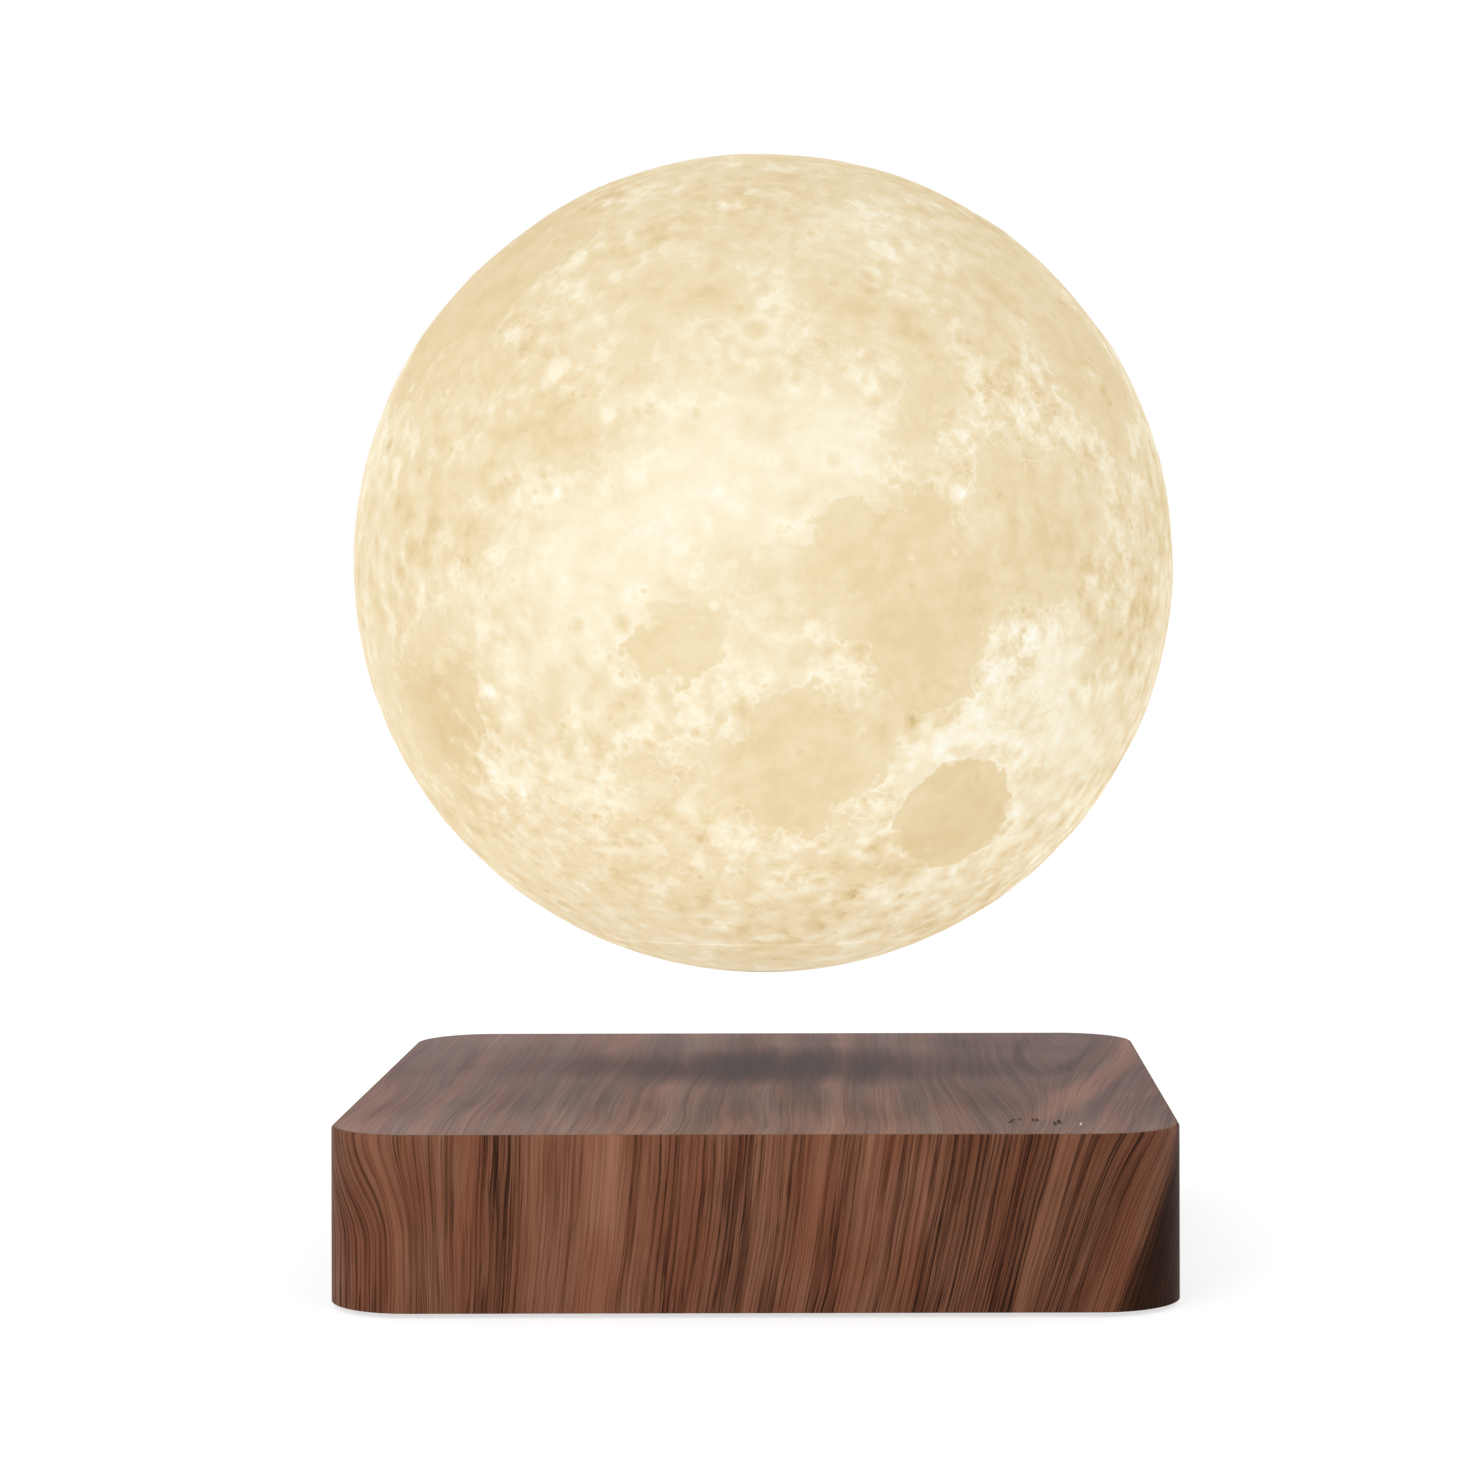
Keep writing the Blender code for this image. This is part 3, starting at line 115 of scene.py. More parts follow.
class Finish:
    # one material, or the world, whose nodes are all added by node()
    def __init__(self, name, world=None):
        self.owner = world or bpy.data.materials.new(name)
        self.owner.use_nodes = True
        self.tree = self.owner.node_tree
        self.shader = self.tree.nodes.get("Principled BSDF")

    def feed(self, socket, value):
        # a link from another node, or a fixed value
        if isinstance(value, Wire):
            self.tree.links.new(value.socket, socket)
        else:
            socket.default_value = value

    def node(self, kind, settings=None, values=None, output=0):
        made = self.tree.nodes.new("ShaderNode" + kind)
        for key, value in (settings or {}).items():
            if key == "stops":
                while len(made.color_ramp.elements) < len(value):
                    made.color_ramp.elements.new(0.5)
                for element, (position, colour) in zip(made.color_ramp.elements, value):
                    element.position = position
                    element.color = screen(colour) if isinstance(colour, str) else (colour, colour, colour, 1)
            elif key == "ease":
                made.color_ramp.interpolation = value
            else:
                setattr(made, key, value)
        for key, value in (values or {}).items():
            self.feed(made.inputs[key], value)
        return Wire(self, made.outputs[output])

    def calc(self, operation, first, second=0):
        return self.node("Math", {"operation": operation}, {0: first, 1: second})

    def curve(self, value, points, ease="LINEAR"):
        # a level read off a table of (place, level), both in their own units
        start, end = points[0][0], points[-1][0]
        low, high = min(level for _, level in points), max(level for _, level in points)
        stops = [((place - start) / (end - start), (level - low) / (high - low)) for place, level in points]
        return self.ramp((value - start) / (end - start), stops, ease) * (high - low) + low

    def place(self):
        return self.node("TexCoord", output="Object")

    def mapped(self, vector, **values):
        return self.node("Mapping", values={0: vector, **values})

    def axes(self, vector):
        split = self.node("SeparateXYZ", values={0: vector})
        return [Wire(self, output) for output in split.socket.node.outputs]

    def aroundAxis(self, centre):
        # place measured from the centre, and the distance from the upright axis through it
        x, y, z = self.axes(self.mapped(self.place(), Location=tuple(-part for part in centre)))
        return x, y, z, (x * x + y * y) ** 0.5

    def upright(self):
        # how squarely the surface faces up or down
        return abs(self.axes(self.node("TexCoord", output="Normal"))[2])

    def point(self, x, y, z=0):
        return self.node("CombineXYZ", values={0: x, 1: y, 2: z})

    def grain(self, vector, scale=1, detail=2, rough=0.5):
        values = {"Vector": vector, "Scale": scale, "Detail": detail, "Roughness": rough}
        return self.node("TexNoise", values=values)

    def sheet(self, x, y, shift, detail=2):
        # noise over a flat sheet, cut at its own level so that no two are alike
        return self.grain(self.point(x, y, shift), 1, detail)

    def cells(self, vector, scale, spread):
        return self.node("TexVoronoi", values={"Vector": vector, "Scale": scale, "Randomness": spread})

    def step(self, value, low, high, first=0, last=1, ease="SMOOTHSTEP"):
        values = {0: value, 1: low, 2: high, 3: first, 4: last}
        return self.node("MapRange", {"interpolation_type": ease}, values)

    def ramp(self, value, stops, ease="LINEAR"):
        return self.node("ValToRGB", {"stops": stops, "ease": ease}, {0: value})

    def between(self, value, low, high, colours):
        return self.ramp(value, [(low, colours[0]), (high, colours[1])])

    def mix(self, factor, first, second, how="MIX"):
        settings = {"data_type": "RGBA", "blend_type": how}
        return self.node("Mix", settings, {0: factor, 6: first, 7: second}, output=2)

    def scaled(self, colour, factor):
        return self.node("VectorMath", {"operation": "SCALE"}, {0: colour, "Scale": factor})

    def bump(self, height, depth, strength=1):
        return self.node("Bump", values={"Strength": strength, "Distance": depth, "Height": height})

    def surface(self, **sockets):
        # every socket by its own name, with _ for a space
        for name, value in sockets.items():
            self.feed(self.shader.inputs[name.replace("_", " ")], value)
        return self.owner


# walnut film; its patterns are worked out in millimetres
mm = 1000

# streaks of the grain: how close they stand across and along it, their detail, and their level in the noise
grainStreaks = {
    "wander": (0.05, 0.026, 2, 0),
    "ripple": (0.32, 0.07, 2, 37),
    "fade": (0.38, 0.04, 2, 29),
    "wide": (0.16, 0.012, 2, 3),
    "middle": (0.62, 0.028, 2, 7),
    "hair": (1.8, 0.015, 1, 13),
    "fine": (2.7, 0.05, 2, 11),
    "darkLine": (0.6, 0.011, 1, 17),
    "thinLine": (1.2, 0.018, 0, 23),
    "pores": (4.2, 0.14, 1, 31),
}

walnutSides = {
    "top": 36,  # height of the upper edge
    "height": 35,
    "tones": [
        (0, "#22120a"), (0.2, "#43281a"), (0.35, "#583627"), (0.5, "#6b4531"), (0.65, "#7a513d"),
        (0.8, "#875d48"), (1, "#9b6c54"),
    ],
    # how far a line moves from the top edge to the bottom, by its place round the front from the middle
    "lean": [
        (-180, 0), (-130, -3), (-100, -8), (-84, -9.5), (-78, -10.5), (-74, -10), (-71.4, -6.8),
        (-68.4, -4.8), (-65.3, -2.6), (-62, -0.8), (-56, 1.4), (-44, 2.6), (-32, 3.3), (-20, 3.4),
        (-8, 4.2), (4, 5.3), (14, 6.1), (25, 6.6), (36, 7.1), (46, 7.8), (50, 8.6), (53.5, 10.6),
        (56, 12.2), (60, 13.5), (63, 15.1), (67.3, 17.7), (72.5, 20.2), (78, 20.5), (98, 20), (130, 8),
        (180, 3),
    ],
    "runOut": (58, 84),  # where the lines start to run out fast, and are fastest, at the right corner
    "fan": (-60, -68),  # where they fan out near the top of the left corner
    "fanDrop": 0.62,
    # light and dark bands along the top edge, with a table of their own for the right end
    "bands": [
        (-98, 0.4), (-88, 0.44), (-81, 0.42), (-75.5, 0.7), (-71, 0.46), (-62, 0.5), (-55, 0.5),
        (-49.5, 0.28), (-46, 0.34), (-43, 0.62), (-36.5, 0.66), (-34, 0.58), (-29, 0.9), (-25.5, 0.8),
        (-23, 0.46), (-20, 0.66), (-17, 0.32), (-12, 0.42), (-7, 0.52), (-3, 0.22), (0.8, 0.3), (3, 0.66),
        (8.5, 0.26), (13.8, 0.74), (17.5, 0.22), (20.5, 0.26), (23.2, 0.7), (30, 0.46), (35.5, 0.56),
        (39, 0.18), (45, 0.36), (54, 0.34),
    ],
    "rightBands": [
        (54, 0.34), (57.2, 0.14), (59.6, 0.16), (60.8, 0.72), (63.5, 0.66), (65.7, 0.42), (70, 0.5),
        (73, 0.28), (76, 0.58), (77.5, 0.36), (80, 0.5), (84, 0.66), (87.5, 0.76), (89.8, 0.52),
        (91.2, 0.08), (94, -0.48), (104, -0.52), (113, -0.2), (125, 0.3), (170, 0.5), (400, 0.5),
    ],
    "bandsMeet": (53.5, 54.5),
    "bandDepth": 0.5,
    "ground": 0.515,
    "rightShade": (15, 75, 0, 0.14),
    "contrast": {
        "wide": 0.1, "middle": 0.32, "hair": 0.29, "fine": 0.36,
        "darkLine": 0.15, "thinLine": 0.26, "pores": 0.18,
    },
    "relief": {"fine": 0.5, "darkLine": 0.5, "thinLine": 0.3, "pores": 0.4},
    "warm": "#8a5228",
    "warmMost": 0.35,
}


def grainLines(finish, across, along, level):
    # soft streaks, hairlines and dark lines of the wood; across and along the grain in mm
    def streak(name):
        wide, long, detail, number = grainStreaks[name]
        return finish.sheet(across * wide, along * long, level + number, detail)

    across = across + (streak("wander") - 0.5) * 2.2 + (streak("ripple") - 0.5) * 0.7
    fade = streak("fade")
    darkLine = finish.step(abs(streak("darkLine") - 0.5), 0.01, 0.045, -1, 0)
    thinLine = finish.step(abs(streak("thinLine") - 0.5), 0.015, 0.095, -1, 0)
    return {
        "wide": streak("wide") - 0.5,
        "middle": streak("middle") - 0.5,
        "hair": finish.step(streak("hair"), 0.42, 0.51, -1, 0),
        "fine": streak("fine") - 0.5,
        "darkLine": darkLine * finish.step(fade, 0.36, 0.54),
        "thinLine": thinLine * finish.step(fade, 0.62, 0.42),
        "pores": finish.step(streak("pores"), 0.58, 0.72, 0, -1),
    }


def addLines(lines, contrast):
    tone = 0
    for name, amount in contrast.items():
        tone = lines[name] * amount + tone
    return tone


def makeWalnutSides():
    look = walnutSides
    finish = Finish("walnutSides")
    s, z, _ = finish.axes(finish.node("UVMap", {"uv_map": "wrap"}))
    s = s * mm
    z = z * mm
    drop = (look["top"] - z) / look["height"]
    # lines lean to the right of the middle, run out fast at the right corner, and fan at the left one
    right = finish.step(s, *look["runOut"])
    left = finish.step(s, *look["fan"])
    bend = drop * (right * 0.85 + 0.62) + drop * drop * (0.38 - right * 0.85)
    bend = bend + (finish.step(drop, 0, look["fanDrop"]) - bend) * left
    across = s + finish.curve(s, look["lean"], "B_SPLINE") * bend
    lines = grainLines(finish, across, z, 5)
    sway = finish.sheet(across * 0.13, z * 0.022, 41, 3)
    along = across + (sway - 0.5) * 3
    band = finish.curve(along, look["bands"])
    band = band + (finish.curve(along, look["rightBands"]) - band) * finish.step(along, *look["bandsMeet"])
    # light bands have few lines, and the right corner's dark side has its lines subdued
    lined = finish.step(band, -0.3, 0.2, 0.35, 1) * finish.step(band, 0.36, 0.72, 1, 0.55)
    tone = band * look["bandDepth"] + look["ground"] + addLines(lines, look["contrast"]) * lined
    tone = tone - finish.step(s, *look["rightShade"])
    warmth = finish.step(finish.sheet(across * 0.12, z * 0.03, 53), 0.38, 0.66, 0, look["warmMost"])
    return finish.surface(
        Base_Color=finish.mix(warmth, finish.ramp(tone, look["tones"]), screen(look["warm"]), "SOFT_LIGHT"),
        Roughness=finish.step(tone, 0.1, 0.9, 0.6, 0.5),
        Specular_IOR_Level=0.06,
        Normal=finish.bump(addLines(lines, look["relief"]), 0.00006, 0.5),
    )


walnutTop = {
    "figureX": 56,  # where the arched figure stands
    "figureY": -45,
    "figureLean": 0.1,
    "figureEnd": 70,
    "figureTaper": 0.14,
    "beyond": (-4, 12),  # past the figure's middle the lines run straight, and lean
    "beyondLean": 0.15,
    "pull": (26, 50, 0, 0.35),  # before it they bend round it
    "ring": (8.4, 2, 0.4),  # the figure's dark ring: its reach, width and core
    "flank": (16.3, 4.2, 0.9),  # and its pale flank on the right
    "paintedShadow": (1, 22, 50, 30),  # middle and reach of a painted shadow of the globe on the top
    "tones": [
        (0, "#2b1713"), (0.25, "#4a2922"), (0.5, "#6b4337"), (0.75, "#8a5c4b"), (1, "#a87764"),
    ],
    "greys": [
        (0, "#241a19"), (0.25, "#3f2f2d"), (0.5, "#5c4744"), (0.75, "#79605b"), (1, "#967b75"),
    ],
    # light and dark bands across the sheet
    "bands": [
        (-88, 0.62), (-80, 0.6), (-74, 0.5), (-69, 0.48), (-66, 0.78), (-62.5, 0.52), (-55, 0.44),
        (-48, 0.5), (-40, 0.42), (-33, 0.56), (-26, 0.44), (-22, 0.5), (-18.5, 0.84), (-14, 0.5), (-8, 0.4),
        (-3, 0.36), (1.5, 0.62), (5, 0.36), (11.5, 0.4), (15.2, 0.88), (18.5, 0.44), (24, 0.4), (28, 0.54),
        (32, 0.36), (37, 0.46), (42, 0.3), (47, 0.42), (52, 0.4), (60, 0.44), (90, 0.46),
    ],
    "bandDepth": 0.46,
    "ground": 0.34,
    "contrast": {
        "wide": 0.34, "middle": 0.34, "hair": 0.06, "fine": 0.1,
        "darkLine": 0.1, "thinLine": 0.05, "pores": 0.03,
    },
    "relief": {"fine": 0.5, "darkLine": 0.5, "pores": 0.4},
}


def makeWalnutTop():
    look = walnutTop
    finish = Finish("walnutTop")
    x, y, _ = finish.axes(finish.place())
    x = x * mm
    y = y * mm
    # painted shadow of the globe: a soft, ragged dark patch on the top under it, added to the shadow the
    # lamps cast
    shadeX, shadeY, shadeWide, shadeDeep = look["paintedShadow"]
    shadeX = (x - shadeX) / shadeWide
    shadeY = (y - shadeY) / shadeDeep
    x = x + (finish.sheet(x * 0.016, y * 0.012, 2, 1) - 0.5) * 9
    # arched figure: nested arcs with their noses to the front
    middle = look["figureX"] + (y - look["figureY"]) * look["figureLean"]
    rise = finish.calc("MAXIMUM", look["figureEnd"] - y, 0) * look["figureTaper"]
    arch = ((x - middle) * (x - middle) + rise * rise) ** 0.5
    beyond = finish.step(x - middle, *look["beyond"])
    pull = finish.step(x, *look["pull"]) * (1 - beyond)
    across = x + (middle - arch - x) * pull - y * beyond * look["beyondLean"]
    lines = grainLines(finish, across, y * 0.45, 61)
    blotch = finish.sheet(across * 0.1, y * 0.022, 71, 3)
    reach, *width = look["ring"]
    ring = finish.step(abs(arch - reach), *width) * -0.12 + finish.step(arch, 7, 4) * 0.06
    reach, *width = look["flank"]
    flank = finish.step(abs(arch - reach), *width) * finish.step(x - middle, 0, 6) * finish.step(y, 86, 70)
    figure = ring * finish.step(y, 84, 62) + flank * 0.2
    cloud = finish.sheet(x * 0.035, y * 0.02, 77, 3)
    paintedShadow = (shadeX * shadeX + shadeY * shadeY) ** 0.5 + (cloud - 0.5) * 0.9
    paintedShadow = finish.step(paintedShadow, 0.1, 1.4, 0.46, 0)
    near = finish.step(y, 40, -75, 0.65, 1.25)  # sharper lines towards the front edge
    band = finish.curve(across + (blotch - 0.5) * 5, look["bands"])
    tone = band * look["bandDepth"] + look["ground"] + (blotch - 0.5) * 0.36 + figure - paintedShadow
    tone = tone + addLines(lines, look["contrast"]) * near
    tone = tone + finish.step(y, -35, -82, 0.01, 0.18) + finish.step(y, 50, 84, 0, 0.08)
    tone = tone - finish.step(x, 20, 60, 0, 0.05)
    # reddish and greyish runs lie side by side
    chill = finish.step(finish.sheet(across * 0.16, y * 0.01, 91), 0.36, 0.66, 0.24, 0.74)
    # the greyish runs are taken out in the painted shadow, so that it stays reddish
    chill = chill * (1 - flank) * (1 - paintedShadow * 1.8)
    return finish.surface(
        Base_Color=finish.mix(chill, finish.ramp(tone, look["tones"]), finish.ramp(tone, look["greys"])),
        Roughness=finish.step(tone, 0.1, 0.9, 0.62, 0.52),
        Specular_IOR_Level=0.2,
        Normal=finish.bump(addLines(lines, look["relief"]), 0.00005, 0.4),
    )


def makeCoverInside():
    # pressed-fibre body of the base, seen on its lower rim and in its holes
    finish = Finish("coverInside")
    place = finish.place()
    fibres = finish.grain(place, 900, 5, 0.7)
    clumps = finish.grain(place, 140, 3)
    colour = finish.ramp(fibres * 0.6 + clumps * 0.4, [(0.3, "#4a3426"), (0.5, "#6b4e3a"), (0.7, "#86674d")])
    return finish.surface(Base_Color=colour, Roughness=0.85, Normal=finish.bump(fibres, 0.0001))


# globe tones, by longitude, latitude and reach in degrees; longitude 0 faces the front
globeMap = {
    # the seas' last number is their depth
    "seas": [
        # upper left edge
        (-40.5, 50.2, 3.4, 1.05), (-43.6, 45.5, 4.2, 1.1), (-48.5, 41, 5, 1.1), (-50, 35.7, 4.6, 1.1),
        (-50.2, 30, 3.8, 1.05), (-41.3, 25.8, 3.1, 0.9), (-52.4, 26, 3.4, 0.95), (-57.2, 22.7, 2.8, 0.8),
        (-52, 52, 5.5, 1.1), (-60, 44, 7, 1.15), (-62, 35, 7, 1.15), (-66, 27, 6, 1.05), (-72, 38, 8, 1.15),
        (-74, 50, 7, 1.1), (-64, 56, 5, 1.05),
        # left middle
        (-27.4, 16.6, 3.1, 0.7), (-22.7, 15.7, 2.9, 0.75), (-18.5, 16.4, 2.4, 0.6), (-33.3, 17, 2.1, 0.6),
        (-36, 16, 1.7, 0.8), (-42.7, 9.6, 2, 0.8), (-52.2, 8.8, 2.5, 0.6), (-45.4, 7.9, 2, 0.6),
        (-33.7, 4.5, 2.2, 0.35), (-38.3, 11.7, 2, 0.4),
        # upper middle
        (-16.6, 38.4, 2.8, 0.7), (-11.1, 36.5, 3.1, 0.75), (-5.5, 37.3, 3.1, 0.75), (-16, 32.5, 3.4, 0.65),
        (-13.5, 27.8, 3.1, 0.6), (-9.5, 25.5, 2.8, 0.5), (-16.8, 24.9, 2.1, 0.6),
        # top
        (-19.9, 55.7, 2.8, 0.6), (-8, 47.9, 4.2, 0.55), (0, 45.7, 3.1, 0.5), (-25.9, 53.3, 2.5, 0.6),
        (6.2, 52.6, 3.5, 0.5), (15, 52.7, 2.8, 0.5), (16.4, 43.9, 2.8, 0.55), (10.4, 41.3, 3.1, 0.6),
        (16.6, 34.4, 1.8, 0.9), (13.9, 31.9, 3.5, 0.6), (11.3, 36.8, 2.8, 0.65), (9.8, 27.3, 2.5, 0.55),
        # upper right, inner
        (24.9, 29.7, 3.1, 0.7), (24.2, 31.8, 2.5, 0.6), (25, 21.2, 3.4, 0.8), (27.8, 22.1, 2.5, 0.7),
        (22.9, 17.9, 2.5, 0.75), (21.1, 15.6, 1.7, 0.7),
        # upper right edge
        (50.5, 46.8, 4.2, 0.65), (48.1, 39.8, 5, 0.75), (52.8, 34.9, 4.5, 0.75), (54.6, 29.3, 4.8, 0.85),
        (54.6, 24, 4.2, 0.9), (58.8, 19.9, 3.4, 0.9), (61.2, 16.4, 2, 0.9), (38.5, 36.6, 3.4, 0.6),
        (39.8, 31.7, 2.8, 0.7), (36.7, 28.7, 1.8, 0.85), (46.6, 50.9, 2.8, 0.45), (60, 43, 5, 0.9),
        (64, 33, 5.5, 1), (68, 25, 4.5, 1), (66, 50, 4, 0.8),
        # right
        (37.9, 9, 5.6, 0.72), (44, 7.8, 5.9, 0.8), (47.7, 5.3, 4.5, 0.8), (34.3, 5.1, 5, 0.72),
        (40.7, 1.3, 6.3, 0.8), (32.5, 0, 3.9, 0.72), (45.4, -1.2, 3.1, 0.8), (40.9, -3.8, 2.5, 0.8),
        (34.5, 10.9, 3.1, 0.9),
        # middle
        (12.3, 3.4, 3.2, 0.76), (17.1, 4.7, 3.6, 0.85), (21.8, 3.4, 3.6, 0.95), (23.2, 5.6, 2.8, 0.95),
        (14.4, -1.4, 4.8, 0.78), (21.1, -2.6, 6.3, 0.95), (26.6, -2, 4.2, 0.95), (19.9, -8.3, 6.6, 1),
        (24.9, -10.2, 5.6, 1), (27.6, -7, 4.2, 1), (22.5, -14.8, 3.9, 1), (26.8, -13.9, 2.9, 1),
        (30.3, -3.9, 4, 0.78), (15.8, -6.4, 3.8, 0.85), (21.6, -18.5, 1.8, 1), (4.3, -2.4, 3.3, 0.65),
        (8.1, -3.9, 3.6, 0.7), (1.2, -0.1, 2.5, 0.5), (10.4, 0.2, 2.8, 0.8), (2.4, -4.1, 2.4, 0.6),
        (-0.7, -2, 2.8, 0.5), (-3, 0.1, 1.8, 0.4), (5.6, -6.4, 2, 0.6),
        # lower middle
        (5.8, -20.7, 3.4, 0.9), (3.9, -24.2, 4.8, 0.95), (10.1, -24.2, 5, 0.9), (15.8, -23.5, 3.4, 0.8),
        (0.4, -27.8, 5, 0.9), (7.6, -29.3, 5.6, 1), (13.5, -28.5, 3.9, 0.95), (6.5, -34.7, 3.8, 1),
        (2.1, -33.9, 2.8, 0.9), (-5.3, -27, 2.8, 0.7), (-7.9, -30.8, 2.4, 0.7), (-3.4, -30.8, 3.5, 0.8),
        (10.5, -35.5, 2.1, 0.95), (18.3, -20.8, 2, 0.6),
        # round one, lower right
        (32.7, -34.4, 7.5, 1.25), (35, -37, 7.8, 1.25),
        # small middle
        (-12.5, -11.5, 2.7, 0.95), (-9.1, -10.2, 3.6, 0.9), (-6.5, -8.3, 2.7, 0.7),
        (-8.6, -12.8, 2.4, 0.95), (-13.9, -12.8, 1.5, 0.95), (-11.2, -6.7, 1.7, 0.7),
        # lower left
        (-44.3, -15.7, 3.1, 1.15), (-51.4, -18.6, 4.3, 1.25), (-46.6, -21.3, 4.1, 1.25),
        (-53, -25.1, 3.7, 1.25), (-56.3, -17.3, 3, 1), (-42.2, -12.3, 1.8, 0.9), (-51.5, -13.1, 2.4, 0.9),
        (-47.5, -9.3, 2, 0.8), (-58, -22, 4.5, 1), (-68, -17, 3.5, 0.8), (-68, -25, 3.5, 0.8),
        (-50.5, -27.8, 2.9, 1.2), (-59.5, -27, 3.2, 1), (-64.5, -9.4, 2.4, 0.7), (-63.8, -20, 3.6, 0.9),
        # small patches
        (55.3, -10.4, 2.4, 0.8), (53.2, -12.4, 1.5, 0.8), (10.4, -43.3, 1.7, 0.8), (19.6, -45.6, 2, 0.85),
        (42.2, -56.6, 1.7, 0.6), (12.8, -67.4, 2.8, 0.6), (41.5, -66.3, 2, 0.6), (-7.9, -69.8, 2.5, 0.8),
        (9.9, -72.1, 2, 0.7), (-16.5, -27.6, 2.1, 0.8), (-14.1, -28.7, 1.7, 0.8), (-16.5, -32.8, 1.5, 0.7),
        (-12.4, -34.8, 2.2, 0.4), (-21.9, -42.8, 2, 0.35), (-10, -39.8, 2, 0.35), (-31.7, -45.1, 2.2, 0.35),
        (-35.6, -37.9, 2, 0.35),
        # far side
        (128, 22, 7.5, 0.8), (137, 16, 5, 0.75), (176, -30, 6, 0.6), (168, -38, 9, 0.5),
        (-95, -18, 6.5, 0.85), (-104, -12, 3, 0.7), (-150, 34, 5, 0.6), (150, 52, 6.5, 0.5),
        (96, -8, 6, 0.8), (88, 4, 5, 0.75), (104, 10, 4, 0.7), (110, -52, 5.5, 0.6), (-128, -46, 7, 0.5),
        (-86, 46, 6, 0.7), (-120, 8, 3.5, 0.6), (-172, 4, 4, 0.5), (82, 40, 6, 0.7), (90, 60, 7, 0.5),
        (-150, -72, 8, 0.4), (30, 78, 9, 0.5),
    ],
    # small dark pits
    "pits": [
        (22.4, -21.1, 1, 1), (-16.9, -8.2, 1.3, 0.5), (51.1, -7.1, 1.3, 0.7), (52.4, -1.8, 1.1, 0.6),
        (19.6, -49.8, 1.4, 0.8), (29.9, -46.7, 0.7, 0.9), (20.1, -41, 0.7, 0.9), (42.6, -53.8, 0.8, 0.8),
        (-49.9, 56.8, 0.6, 1), (-53, -50.9, 0.6, 1), (-54.2, -56.4, 0.6, 1), (-26.3, -35.4, 0.4, 1),
        (-13.5, -20.4, 0.8, 0.9), (-17.8, -19, 0.6, 0.9), (-50.5, -21, 6, 0.3),
    ],
    # bright spots, with their strength
    "spots": [
        (-19.6, 18.5, 1.1, 1), (-59.7, 12.8, 1.8, 0.9), (-25.7, 8.5, 1, 0.8), (-63.6, 24.1, 0.6, 0.9),
        (-53.8, 52, 0.6, 0.8), (-46.8, 50, 0.6, 0.7), (-33.8, 45, 0.6, 0.8), (-7.2, 54.2, 1.1, 0.9),
        (-3.4, 54.6, 0.8, 0.6), (24.5, 45.2, 1.7, 1), (23, 45.9, 1.1, 1), (26.1, 15.5, 1.1, 1),
        (27.2, 8.3, 1.3, 1), (26.5, 0.8, 0.7, 0.9), (26.5, 4.2, 0.6, 0.7), (-29.1, 25.7, 1.8, 1),
        (7.6, -8.8, 1.4, 0.9), (8.6, -10.2, 1, 0.8), (-4.8, -5.9, 0.8, 0.9), (33.4, -15.7, 1.1, 0.9),
        (31.3, -20.1, 1.9, 1), (29.7, -23, 2.2, 1), (26.9, -23.9, 1.8, 1), (24, -24.9, 1.5, 0.9),
        (29.8, -26.9, 1, 0.8), (32.1, -17.9, 1, 0.9), (39.3, -10.3, 2.2, 0.8), (47.5, -20.7, 2.5, 0.7),
        (48.6, -28, 0.8, 0.8), (47.4, 33.2, 0.8, 0.7), (-38.7, -17.1, 1.3, 0.8), (-64.4, -20.3, 0.7, 0.9),
        (-41.4, -20.9, 0.6, 0.8), (-4.8, -38.7, 2.4, 0.8), (-7, -37.5, 1.1, 0.6), (-37.6, -28.7, 4, 0.8),
        (46.3, -38.2, 1.1, 0.7), (11.5, -41.4, 0.7, 0.8), (27.1, -42.3, 0.7, 0.9), (49, -3.8, 1.7, 0.7),
        (47.6, -5.1, 1.3, 0.6), (52.4, 2.7, 1.1, 0.6), (42, 15.8, 1.1, 0.6), (35.5, 21.4, 1.4, 0.6),
        (38.6, 20.1, 1.3, 0.6), (24.1, 28, 0.6, 0.5), (15.9, 27.1, 1.1, 0.7), (1.5, 34.7, 1.8, 0.6),
        (-30.7, 38.4, 1.3, 0.6), (-41.1, 31.1, 1.4, 0.5), (-43.7, -2.1, 1.3, 0.7), (-19.2, -3.9, 0.7, 0.6),
        (-9.5, -15.3, 0.7, 0.8), (11.8, -18.7, 1.1, 0.5), (15.2, -22.5, 1, 0.7), (20.6, -0.1, 0.6, 0.6),
        (-49.4, 30.8, 0.7, 0.5), (40.6, 18.7, 0.8, 0.7), (-13.3, 20.8, 1, 0.5), (-22.4, 40.2, 0.7, 0.6),
    ],
    # broad bright and dim highlands, with their strength
    "highlands": [
        (-6, 11, 15.4, 0.95), (-18.8, -0.1, 13.3, 0.8), (10, 13.8, 9.4, 1), (-26.5, -10.3, 11.2, 0.5),
        (0.5, -12.8, 8.4, 0.5), (53.3, -24.3, 11.2, 0.7), (45.5, -14, 7.5, 0.75), (1.8, 30.7, 4.2, 0.6),
        (32.3, -22.3, 4.2, 0.8), (21, -40.8, 7, 0.3), (150, 0, 24, 0.6), (-140, -15, 20, 0.6),
        (-110, 30, 14, 0.5), (120, -25, 14, 0.5), (-170, 60, 16, 0.4), (27.5, 40.5, 5.5, 0.45),
        (20, 48, 8, 0.32), (-17.5, 17.5, 9, -0.42), (0, 45, 7, 0.15), (-1.8, 28.4, 6, 0.35),
        (3.6, 3.6, 7.5, 0.95), (-29.8, -27.8, 4, 0.45), (27.2, -27.7, 4.5, 0.9), (31.7, -48, 4.5, 0.35),
        (-26.2, -63.7, 5, 0.35), (50.2, -11.8, 4, 0.45), (-46.8, 11.2, 4, 0.3), (2, 37.5, 7, 0.3),
